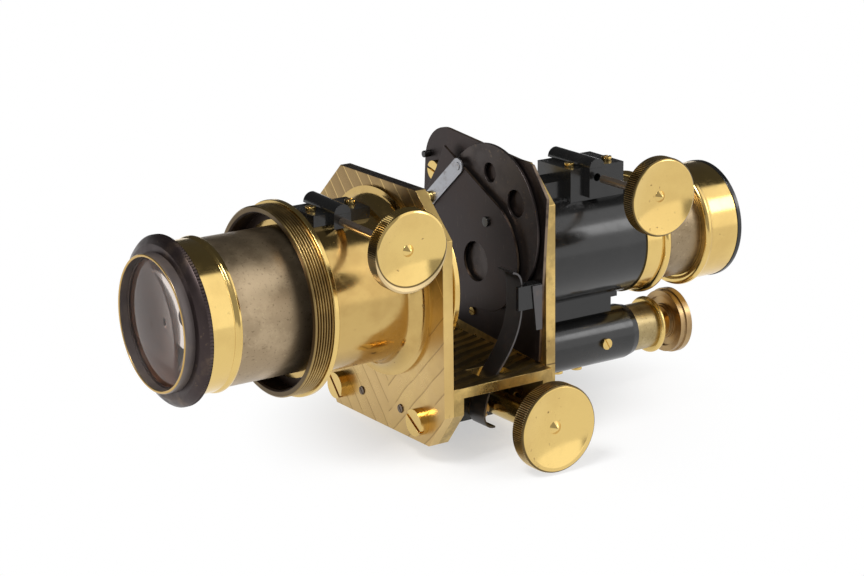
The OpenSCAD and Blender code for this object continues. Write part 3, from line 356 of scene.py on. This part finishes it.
def drab(name, colours, axis="X", centre=OPTICAL):
    """Unpolished draw tube: brown-olive skin, finely speckled, with faint lighter rubbing."""
    f = Finish(name)
    x, y, z = f.parts(f.place)
    rubbed = f.between(f.streaks((60.0, 60.0, 60.0), 5.0, 0.65), 0.42, 0.62)
    speck = f.between(f.noise(900.0, 3.0), 0.58, 0.72)
    glint = f.between(f.noise(700.0, 2.0), 0.64, 0.74)
    colour = f.blend(rubbed, *colours)
    colour = f.blend(speck * 0.5, colour, DRAB_SPECK)
    colour = f.blend(glint * 0.35, colour, DRAB_GLINT)
    rough = 0.35 + f.between(f.noise(120.0, 4.0), 0.3, 0.7) * 0.05
    normal = f.bump(f.rings(axis, centre) * 0.6 + f.noise(1400.0, 2.0) * 0.4, 0.25, HAIR)
    inner = 1.0 - f.between((y * y + z * z) ** 0.5, *TUBE_WALL)
    inside = inner * (1.0 - f.between(x, *TUBE_END))  # the condenser tube's bore, seen through the lens
    colour = f.blend(inside, colour, TUBE_BORE)
    return f.close(Base_Color=colour, Metallic=0.96 - inside * 0.8, Roughness=rough, Normal=normal)


def dark_bronze(name, colours, worn, axis="X", centre=OPTICAL):
    """Chemically darkened brass, brown, rubbed brighter in places."""
    f = Finish(name)
    bare = f.between(f.noise(45.0, 5.0, 0.6), 0.50, 0.74) * worn
    colour = f.blend(bare, *colours)
    colour = f.blend(f.between(f.noise(500.0, 3.0), 0.62, 0.75) * 0.35, colour, BRONZE_SPECK)
    rough = 0.32 + f.between(f.noise(160.0, 4.0), 0.35, 0.7) * 0.14 - bare * 0.08
    normal = f.bump(f.rings(axis, centre), 0.2, HAIR)
    return f.close(Base_Color=colour, Metallic=0.85, Roughness=rough, Normal=normal)


def black_lacquer(name, axis=None):
    """Black enamel over brass: soft sheen, dust, small chips down to the metal."""
    f = Finish(name)
    dust = f.between(f.noise(70.0, 6.0, 0.65), 0.45, 0.8)
    chip = f.between(f.noise(300.0, 4.0, 0.7), 0.735, 0.76)
    chip = chip * f.between(f.noise(36.0, 2.0), 0.45, 0.62) * 0.35
    colour = f.blend(dust * 0.35, *BLACK_ENAMEL)
    colour = f.blend(chip, colour, CHIPPED_BRASS)
    grain = f.rings(axis, OPTICAL, SOFT_RING_SCALE) if axis else f.noise(1500.0, 3.0)
    rough = 0.17 + dust * 0.14 + f.between(f.noise(210.0, 3.0), 0.4, 0.7) * 0.06
    normal = f.bump(grain * 0.5 + f.noise(120.0, 4.0) * 0.5 - chip * 1.5, 0.22, ENAMEL)
    return f.close(
        Base_Color=colour, Metallic=chip, Roughness=rough, Normal=normal,
        IOR=1.5, Coat_Weight=0.12, Coat_Roughness=0.08,
    )


def blacked_sheet(name, face):
    """Thin chemically blacked brass sheet, dull, brownish where handled, with a painted highlight in patches
    on its cut edges.
    """
    f = Finish(name)
    x = f.parts(f.place)[0]
    brown = f.between(f.noise(40.0, 5.0, 0.6), 0.42, 0.75)
    colour = f.blend(brown * 0.8, *BLACKED_SHEET)
    scratch = f.streaks((60.0, 900.0, 140.0))
    thin = f.between(scratch, 0.63, 0.72) * 0.4
    # painted highlight: the cut edges behind the front face are lightened in patches
    behind = f.between(x, (face + 0.08) * MM, (face + 0.20) * MM)
    cut = behind * f.between(f.noise(75.0, 3.0), 0.30, 0.55)
    colour = f.blend(cut * 0.8, colour, PAINTED_EDGE_HIGHLIGHT)
    colour = f.blend(thin, colour, SHEET_SCRATCH)
    rough = 0.36 + brown * 0.10 + thin * 0.1
    normal = f.bump(f.noise(1100.0, 3.0) * 0.5 + scratch * 0.5, 0.2, SHEET)
    return f.close(Base_Color=colour, Metallic=0.92, Roughness=rough, Normal=normal)


ALONG_SHAFT = (5000.0, 300.0, 5000.0)  # brushing of a shaft that lies on Y


def steel(name, base, gloss, brushing=(300.0, 6000.0, 6000.0)):
    """Brushed steel with faint brown stains."""
    f = Finish(name)
    stain = f.between(f.noise(140.0, 5.0, 0.65), 0.52, 0.74)
    brushed = f.streaks(brushing)
    return f.close(
        Base_Color=f.blend(stain * 0.5, base, STEEL_STAIN), Metallic=0.95,
        Roughness=gloss + stain * 0.14 + brushed * 0.06, Normal=f.bump(brushed, 0.25, HAIR),
    )


def copper_bronze(name, axis, centre):
    """Warm reddish bronze of a later head."""
    f = Finish(name)
    cloud = f.between(f.noise(70.0, 5.0, 0.6), 0.40, 0.70)
    return f.close(
        Base_Color=f.blend(cloud * 0.7, *COPPER), Metallic=1.0, Roughness=0.28 + cloud * 0.14,
        Normal=f.bump(f.rings(axis, centre), 0.3, HAIR),
    )


def lens_glass(name):
    """Clear glass with a faint warm cast and a little dust."""
    f = Finish(name)
    dust = f.between(f.noise(900.0, 3.0), 0.66, 0.80)
    return f.close(
        Base_Color=GLASS, Roughness=0.015 + dust * 0.12, IOR=1.32, Transmission_Weight=1.0, Metallic=0.0
    )


# ---------------------------------------------------------------- pieces


SAME = 1e-7  # vertices of a turned mesh nearer than this, in metres, are one
ON_RIM = 0.06  # a vertex this near a radius, in mm, is on that rim
WELD = 2e-6  # vertices of a CAD mesh nearer than this, in metres, are one
ONE_FLAT = math.radians(0.6)  # CAD faces that differ by less than this are one flat
KEEN = math.radians(28.0)  # an edge sharper than this is eased
HARDLY_TURNS = math.radians(165)  # a corner of a profile more open than this stays as it is
CREASE, KNOB_CREASE = 34.0, 40.0  # shading breaks at edges sharper than this, in degrees


def show(bm, name, node, material, crease=CREASE):
    """Turns a bmesh into a finished piece that stands for a CAD node and rides with it."""
    name = name.replace(" ", "_")
    mesh = bpy.data.meshes.new(name)
    bm.to_mesh(mesh)
    bm.free()
    mesh.shade_smooth()
    mesh.set_sharp_from_angle(angle=math.radians(crease))
    piece = bpy.data.objects.new(name, mesh)
    bpy.context.scene.collection.objects.link(piece)
    mesh.materials.append(material)
    weighted = piece.modifiers.new("even shading", "WEIGHTED_NORMAL")
    weighted.keep_sharp = True
    weighted.weight = 60
    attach(piece, BODY_OF[node])
    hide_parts(node)
    return piece


def eased(node, material, edge):
    """The CAD node's own shape with its sharp edges eased by edge mm."""
    bm = bmesh.new()
    bm.from_mesh(frame["nodes"][node].data)
    bmesh.ops.remove_doubles(bm, verts=bm.verts, dist=WELD)
    bmesh.ops.dissolve_limit(bm, angle_limit=ONE_FLAT, verts=bm.verts, edges=bm.edges, delimit={"NORMAL"})
    sharp = [e for e in bm.edges if len(e.link_faces) == 2 and e.calc_face_angle() > KEEN]
    bmesh.ops.bevel(
        bm, geom=sharp, offset=edge * MM, offset_type="OFFSET", segments=2, profile=0.5,
        affect="EDGES", clamp_overlap=True, material=-1,
    )
    return show(bm, node + "_finished", node, material)


AXES = {
    "X": Matrix(((0, 0, 1), (1, 0, 0), (0, 1, 0))).to_4x4(),  # turned about X
    "Y": Matrix(((1, 0, 0), (0, 0, 1), (0, -1, 0))).to_4x4(),  # turned about Y
}


def lathe(bm, profile, steps, closed=True):
    """Spins a profile of (along, radius) points in mm about the local Z axis."""
    verts = [bm.verts.new((radius * MM, 0, along * MM)) for along, radius in profile]
    edges = [bm.edges.new(pair) for pair in zip(verts, verts[1:])]
    if closed:
        edges.append(bm.edges.new((verts[-1], verts[0])))
    bmesh.ops.spin(
        bm, geom=verts + edges, cent=(0, 0, 0), axis=(0, 0, 1), angle=2 * math.pi, steps=steps,
        use_merge=True,
    )
    bmesh.ops.remove_doubles(bm, verts=bm.verts, dist=SAME)


def rounded(profile, radius, points=3):
    """Rounds the corners of a closed profile by radius mm, but leaves those that hardly turn."""
    result = []
    count = len(profile)
    for i, corner in enumerate(profile):
        here = Vector(corner)
        to_last = Vector(profile[i - 1]) - here
        to_next = Vector(profile[(i + 1) % count]) - here
        reach = min(radius, to_last.length * 0.45, to_next.length * 0.45)
        if reach < 0.02 or to_last.angle(to_next) > HARDLY_TURNS:
            result.append(tuple(here))
            continue
        start = here + to_last.normalized() * reach
        end = here + to_next.normalized() * reach
        for k in range(points + 1):
            t = k / points
            result.append(tuple(start * (1 - t) ** 2 + here * 2 * t * (1 - t) + end * t**2))
    return result


def mill(bm, low, high, radius, teeth, depth):
    """Cuts a milled edge: vertices on the rim between two stations go in and out round the axis."""
    for v in bm.verts:
        r = math.hypot(v.co.x, v.co.y)
        if low * MM <= v.co.z <= high * MM and abs(r - radius * MM) < ON_RIM * MM:
            turn = math.atan2(v.co.y, v.co.x) * teeth
            cut = 1 - depth * (0.5 - 0.5 * math.cos(turn)) * MM / r
            v.co.x *= cut
            v.co.y *= cut


def set_down(bm, axis, centre, roll=0.0):
    """Lays a turned shape on its axis through centre, in mm."""
    place = Matrix.Translation(Vector(centre) * MM) @ AXES[axis]
    if roll:
        place = Matrix.Rotation(roll, 4, "X") @ place
    bmesh.ops.transform(bm, matrix=place, verts=bm.verts)
    bmesh.ops.recalc_face_normals(bm, faces=bm.faces)


def turned_piece(
    name, node, material, profile, edge, centre=(PLATE_X, 0, 0), axis="X", steps=160, milling=None
):
    """A turned piece given by its closed profile of (along, radius) points, its corners rounded by edge."""
    bm = bmesh.new()
    lathe(bm, rounded(profile, edge), steps)
    if milling:
        mill(bm, *milling)
    set_down(bm, axis, centre)
    return show(bm, name, node, material)


# condenser

RING_TEETH = 150
STEPS_TO_A_TOOTH = 4
turned_piece(
    "milled lens ring", "lens_ring", dark_bronze("dark bronze ring", LENS_RING, 0.5),
    [(-107.2, 31.4), (-107.0, 32.6), (-106.2, 34.3), (-105.4, 35.4), (-104.6, 36.1), (-104.3, 36.3),
     (-104.2, 36.3), (-103.6, 36.3), (-103.0, 36.3), (-102.5, 36.3), (-102.4, 36.2), (-102.4, 29.4),
     (-107.2, 29.4)],
    edge=0.1, steps=RING_TEETH * STEPS_TO_A_TOOTH, milling=(-104.25, -102.45, 36.3, RING_TEETH, 0.34),
)
STAGE_FACE, COVER_FACE = PLATE_X + 55.7, PLATE_X + 51.3  # x of the sheets' front faces, in mm
polished = {}  # the finishes made so far, by kind


def cad_finish(kind):
    """One shared material for the CAD nodes of one kind."""
    makers = {
        "plain": lambda: brass("polished brass", tarnish=0.45),
        "optical": lambda: brass("turned brass, optical axis", "X", tarnish=0.45, gloss=0.12),
        "bridge": lambda: brass("bridge brass, stains and dark top", tarnish=0.7, gloss=0.2, extra=stains_and_dark_top),
        "threads": lambda: brass("threaded collar brass", "X", tarnish=0.3, gloss=0.16, extra=threads),
        "limb": lambda: brass("turned brass, limb axis", "X", LIMB, tarnish=0.7, gloss=0.2),
        "plate": lambda: brass("scraped brass plate", tarnish=0.6, gloss=0.2, extra=scraped_plate),
        "drab": lambda: drab("drab tube", DRAW_TUBE),
        "condenser drab": lambda: drab("drab condenser tube", CONDENSER_TUBE),
        "jacket": lambda: brass("turned brass, jacket", "X", tarnish=0.8, gloss=0.12, extra=browned),
        "drab limb": lambda: drab("drab limb", LIMB_TUBE, "X", LIMB),
        "wheel": lambda: dark_bronze("wheel bronze", WHEEL_BRONZE, 0.2, "X", WHEEL),
        "lacquer": lambda: black_lacquer("black lacquer"),
        "lacquer tube": lambda: black_lacquer("black lacquer tube", "X"),
        "stage sheet": lambda: blacked_sheet("blacked stage sheet", STAGE_FACE),
        "cover sheet": lambda: blacked_sheet("blacked cover sheet", COVER_FACE),
        "spring": lambda: steel("spring steel", SPRING_STEEL, 0.36, (500.0, 2500.0, 7000.0)),
        "leaf": lambda: steel("dark leaf steel", LEAF_STEEL, 0.34, (900.0, 6000.0, 900.0)),
        "shaft": lambda: steel("shaft steel", SHAFT_STEEL, 0.25, ALONG_SHAFT),
        "dark screw": lambda: steel("dark screw steel", SCREW_STEEL, 0.30),
        "glass": lambda: lens_glass("lens glass"),
        "copper": lambda: copper_bronze("copper bronze", "X", LIMB),
    }
    if kind not in polished:
        polished[kind] = makers[kind]()
    return polished[kind]


def bezel_finish():
    """The bezel: bare brass only on its front lip, darkened grey-brown outside and inside."""
    f = Finish("bezel")
    x = f.parts(f.place)[0]
    lip = 1.0 - f.between(x, *BEZEL_LIP)
    dark = f.blend(f.between(f.noise(60.0, 4.0), 0.4, 0.7), *BEZEL)
    return f.close(
        Base_Color=f.blend(lip, dark, HONEY_BRASS), Metallic=0.35 + lip * 0.65,
        Roughness=0.34 - lip * 0.16, Normal=f.bump(f.rings("X", OPTICAL), 0.2, HAIR),
    )


turned_piece(
    "lens bezel", "lens_bezel", bezel_finish(),
    [(-111.75, 28.0), (-111.95, 28.5), (-111.75, 29.2), (-110.9, 29.45), (-107.4, 29.4), (-102.5, 29.3),
     (-102.5, 28.05), (-105.2, 28.0), (-105.6, 27.0), (-106.8, 27.0), (-107.0, 28.0)],
    edge=0.25,
)
turned_piece(
    "condenser cell", "condenser_cell", cad_finish("optical"),
    [(-102.3, 32.4), (-102.0, 32.65), (-90.6, 32.65), (-90.4, 32.35), (-90.0, 32.35), (-89.7, 32.65),
     (-89.1, 33.15), (-88.1, 33.4), (-87.2, 33.15), (-86.95, 32.5), (-86.9, 31.85), (-100.3, 31.85),
     (-100.4, 29.5), (-102.3, 29.5)],
    edge=0.12,
)
THREADS, PITCH, CREST, ROOT = 6, 1.27, 41.2, 40.35  # how many, and the sizes in mm
collar_rows = [(-57.4, 38.6), (-57.4, 40.6), (-56.9, CREST)]
for ridge in range(THREADS):
    start = -56.6 + ridge * PITCH
    collar_rows += [(start, CREST), (start + 0.30, ROOT + 0.1), (start + 0.52, ROOT), (start + 0.95, CREST)]
collar_rows += [(-49.05, 41.15), (-49.0, 42.3), (-48.7, 42.6), (-46.9, 42.6), (-46.6, 42.3), (-46.6, 34.3),
                (-49.0, 34.3), (-49.05, 37.9), (-56.6, 37.9)]
turned_piece("threaded collar", "lantern_collar", cad_finish("threads"), collar_rows, edge=0.12)
turned_piece(
    "tail ring", "tail_ring", cad_finish("optical"),
    [(5.02, 34.3), (5.02, 36.2), (13.4, 36.2), (13.8, 37.4), (14.2, 38.0), (16.6, 38.0), (17.0, 37.6),
     (17.0, 34.3)],
    edge=0.35,
)
eased("condenser_tube", cad_finish("condenser drab"), 0.25)
eased("condenser_jacket", cad_finish("jacket"), 0.35)


# knobs


SHAFT_HOLE, HUB, HUB_LENGTH = 1.86, 4.2, 3.4  # radius of the hole, radius and length of the hub, in mm
DISH = 3.0  # depth of a knob's dished face, in mm
PLAIN_EDGE = 0.85  # what the milling leaves plain at either edge of the rim, in mm
TOOTH_DEPTH = 0.5
RIM_ROWS, DISH_ROWS = 8, 9


def knob_rows(radius, thick):
    """Profile of a milled knob: dished polished face at 0 with a small raised centre, back at thick."""
    rim = radius - 1.2
    end = thick + HUB_LENGTH
    rows = [(end, SHAFT_HOLE), (end, HUB), (thick + 0.1, HUB + 0.1), (thick, radius - 1.4)]
    rows += [(thick - 0.5, radius - 0.25)]
    rows += [(thick - 0.9 - (thick - 1.9) * i / RIM_ROWS, radius) for i in range(RIM_ROWS + 1)]
    rows += [(0.55, radius - 0.3), (0.12, radius - 0.9), (0.0, rim)]
    for i in range(1, DISH_ROWS + 1):
        share = 1 - i / DISH_ROWS * 0.84
        rows.append((DISH * (1 - share**2), rim * share))
    for depth, out in [(0.90, 0.15), (0.62, 0.085), (0.32, 0.025), (0.29, 0.0)]:
        rows.append((DISH * depth, rim * out))
    return rows


def knob(name, node, material, centre, radius, thick, teeth, roll):
    """A milled knob on the Y axis, its dished face outwards."""
    bm = bmesh.new()
    lathe(bm, knob_rows(radius, thick), teeth * STEPS_TO_A_TOOTH, closed=False)
    mill(bm, PLAIN_EDGE, thick - PLAIN_EDGE, radius, teeth, TOOTH_DEPTH)
    bmesh.ops.remove_doubles(bm, verts=bm.verts, dist=1e-6)
    bmesh.ops.edgeloop_fill(bm, edges=[e for e in bm.edges if e.is_boundary])
    set_down(bm, "Y", centre, roll)
    return show(bm, name, node, material, crease=KNOB_CREASE)


# x and z of the pinions' axes, in mm
FRONT_PINION = (PLATE_X - 27.4, 34.15)
REAR_PINION = (PLATE_X + 107.0, 33.5)
COARSE_PINION = (PLATE_X + 45.0, -58.0)
for label, node, (px, pz), face, radius, thick, teeth, roll in [
    ("condenser knob", "front_knob", FRONT_PINION, -66.9, 17.6, 7.0, 116, ROLL),
    ("coarse focus knob", "coarse_knob", COARSE_PINION, -70.8, 19.7, 8.0, 128, 0.0),
    ("projector knob", "rear_pinion_set", REAR_PINION, -63.6, 17.6, 7.0, 116, 0.0),
]:
    rim = worn_knurl((px, pz), radius)
    metal = brass(label + " brass", "Y", (px, 0, pz), tarnish=0.35, gloss=0.10, rings=0.2, extra=rim)
    knob(label, node, metal, (px, face, pz), radius, thick, teeth, roll)
turned_piece(
    "projector pinion shaft", "rear_pinion_set", steel("pinion steel", SHAFT_STEEL, 0.25, ALONG_SHAFT),
    [(-57.0, 0.0), (-57.0, 1.8), (-20.0, 1.8), (-20.0, 0.0)],
    edge=0.1, centre=(REAR_PINION[0], 0, REAR_PINION[1]), axis="Y", steps=32,
)


# ---------------------------------------------------------------- the other nodes

FINISHES = {
    "plate": ["front_plate"],
    "bridge": ["bridge_bracket", "rear_plate"],
    "dark screw": ["front_plate_pins"],
    "plain": ["front_box_screws", "front_plate_screws", "rear_plate_screws", "stage_plate_screw",
              "cover_screws", "detent_screw", "pinion_sleeve", "rear_box_screws", "body_screws", "nosepiece",
              "objective", "drive_nut"],
    "optical": ["body_collar", "projection_cell"],
    "limb": ["limb_flange", "fine_spindle"],
    "drab": ["draw_tube"],
    "drab limb": ["limb_tube"],
    "wheel": ["diaphragm_wheel"],
    "lacquer": ["front_pinion_box", "front_pinion_cap", "rear_pinion_box", "rear_pinion_cap", "clip_block",
                "slide_block", "cover_posts", "wheel_pivot", "stage_stop_peg", "projection_rim"],
    "lacquer tube": ["body_casting"],
    "stage sheet": ["stage_plate"],
    "cover sheet": ["cover_plate"],
    "spring": ["detent_spring", "detent_rivet"],
    "leaf": ["slide_clip", "pressure_leaf", "clip_pivot"],
    "copper": ["fine_head", "tension_screw"],
}
USUAL_EDGE = 0.35  # how far a sharp edge is eased, in mm, where the next table doesn't say
EDGES = {
    "cover_posts": 0.1, "detent_rivet": 0.1, "clip_pivot": 0.1, "pressure_leaf": 0.1, "front_plate_pins": 0.1,
    "wheel_pivot": 0.12, "slide_clip": 0.12, "detent_spring": 0.12, "front_box_screws": 0.12,
    "rear_box_screws": 0.12, "cover_screws": 0.12, "detent_screw": 0.12, "body_screws": 0.12,
    "cover_plate": 0.15, "stage_plate": 0.2, "fine_spindle": 0.2, "diaphragm_wheel": 0.25,
    "limb_flange": 0.25,
}
for kind, nodes in FINISHES.items():
    for node in nodes:
        eased(node, cad_finish(kind), EDGES.get(node, USUAL_EDGE))

KEPT = {  # CAD nodes shown as they are
    "drab": ["condenser_rack", "draw_rack"],
    "shaft": ["front_pinion", "coarse_pinion"],
    "glass": ["condenser_lens", "condenser_back_lens", "projection_lens"],
}
for kind, nodes in KEPT.items():
    for node in nodes:
        for holder in frame["nodes"][node].material_slots:
            holder.material = cad_finish(kind)


# ---------------------------------------------------------------- floor, light and camera


FLOOR_Z, FLOOR_LEAN = -0.0707, 0.1125  # height under the axis in metres, and rise to a metre of y
SHADOW_X, SHADOW_Y = 0.11, -0.01  # the middle of the shadow
NEAR, FAR = 0.025, 0.105  # the shadow is strongest within the first and ends at the second


def floor_finish():
    """White paper: shows a soft shadow close under the object, and runs out into plain white."""
    f = Finish("white floor")
    x, y, z = f.parts(f.place)
    x, y = x - SHADOW_X, y - SHADOW_Y
    away = (x * x * 0.7 + y * y) ** 0.5
    far = f.between(away, NEAR, FAR)
    paper = f.node("ShaderNodeBsdfDiffuse", None, {"Color": PAPER})
    white = f.node("ShaderNodeEmission", None, {"Color": WHITE, "Strength": 1.0})
    return f.surface(f.node("ShaderNodeMixShader", None, {0: 0.5 + far * 0.5, 1: paper, 2: white}))


bm = bmesh.new()
bmesh.ops.create_circle(bm, cap_ends=True, segments=96, radius=6.0)
for v in bm.verts:  # it leans on the plates' lower corners and the coarse knob, so it stands a little askew
    v.co.z = FLOOR_Z + FLOOR_LEAN * v.co.y
floor_mesh = bpy.data.meshes.new("floor")
bm.to_mesh(floor_mesh)
bm.free()
floor_mesh.materials.append(floor_finish())
floor = bpy.data.objects.new("floor", floor_mesh)
bpy.context.scene.collection.objects.link(floor)


def softbox(name, where, aim, size, watts):
    """A rectangular area lamp at where, turned to aim."""
    lamp = bpy.data.lights.new(name, "AREA")
    lamp.shape = "RECTANGLE"
    lamp.size, lamp.size_y = size
    lamp.energy = watts
    holder = bpy.data.objects.new(name, lamp)
    holder.location = where
    holder.rotation_euler = (Vector(where) - Vector(aim)).to_track_quat("Z", "Y").to_euler()
    bpy.context.scene.collection.objects.link(holder)


MIDDLE = (0.09, 0.0, 0.0)
softbox("key light", (-0.75, -0.35, 1.25), MIDDLE, (0.55, 0.45), 17.0)
softbox("right light", (1.25, -1.0, 0.75), MIDDLE, (0.5, 0.5), 3.0)

world = bpy.data.worlds.new("studio")
bpy.context.scene.world = world
world.use_nodes = True
tree = world.node_tree
tree.nodes.clear()
way = tree.nodes.new("ShaderNodeTexCoord")
lean = tree.nodes.new("ShaderNodeVectorMath")  # how far a direction leans down and to the front
lean.operation = "DOT_PRODUCT"
lean.inputs[1].default_value = (0.0, -0.8, -0.6)
split = tree.nodes.new("ShaderNodeSeparateXYZ")


def ramp(socket, low, high, start, end):
    """A smooth step in the studio's brightness, from start below low to end above high."""
    step = tree.nodes.new("ShaderNodeMapRange")
    step.interpolation_type = "SMOOTHSTEP"
    for key, value in {"From Min": low, "From Max": high, "To Min": start, "To Max": end}.items():
        step.inputs[key].default_value = value
    tree.links.new(socket, step.inputs["Value"])
    return step


DIM_WALL, BRIGHT_WALL, DARK_CEILING = 0.42, 1.35, 0.06  # the left, the right, and above and behind
wall = ramp(split.outputs[0], 0.14, 0.22, DIM_WALL, BRIGHT_WALL)
ceiling = ramp(lean.outputs["Value"], -0.36, -0.31, DARK_CEILING, 1.0)
tree.links.new(wall.outputs[0], ceiling.inputs["To Max"])
sky = tree.nodes.new("ShaderNodeBackground")
out = tree.nodes.new("ShaderNodeOutputWorld")
tree.links.new(way.outputs["Generated"], lean.inputs[0])
tree.links.new(way.outputs["Generated"], split.inputs[0])
tree.links.new(ceiling.outputs[0], sky.inputs["Strength"])
tree.links.new(sky.outputs[0], out.inputs["Surface"])
sky.inputs["Color"].default_value = WHITE

AZIMUTH, ELEVATION, TILT = math.radians(-33.886), math.radians(16.005), math.radians(-0.747)
STAND = (-519.03, -893.29, 300.32)  # where the camera stands, in mm
LENS, SENSOR = 105.62, 36.0
REACH = 20.0  # how far the camera sees, in metres
outward = Vector((math.sin(AZIMUTH), -math.cos(AZIMUTH), 0)) * math.cos(ELEVATION)
back = outward + Vector((0, 0, math.sin(ELEVATION)))
level = Vector((math.cos(AZIMUTH), math.sin(AZIMUTH), 0))
right = Matrix.Rotation(TILT, 3, back) @ level
camera = bpy.data.objects.new("camera", bpy.data.cameras.new("camera"))
camera.data.lens = LENS
camera.data.sensor_width = SENSOR
camera.data.clip_end = REACH
facing = Matrix((right, back.cross(right), back)).transposed().to_4x4()
camera.matrix_world = Matrix.Translation(Vector(STAND) * MM) @ facing
bpy.context.scene.collection.objects.link(camera)
bpy.context.scene.camera = camera

bpy.context.scene.view_settings.view_transform = "Standard"
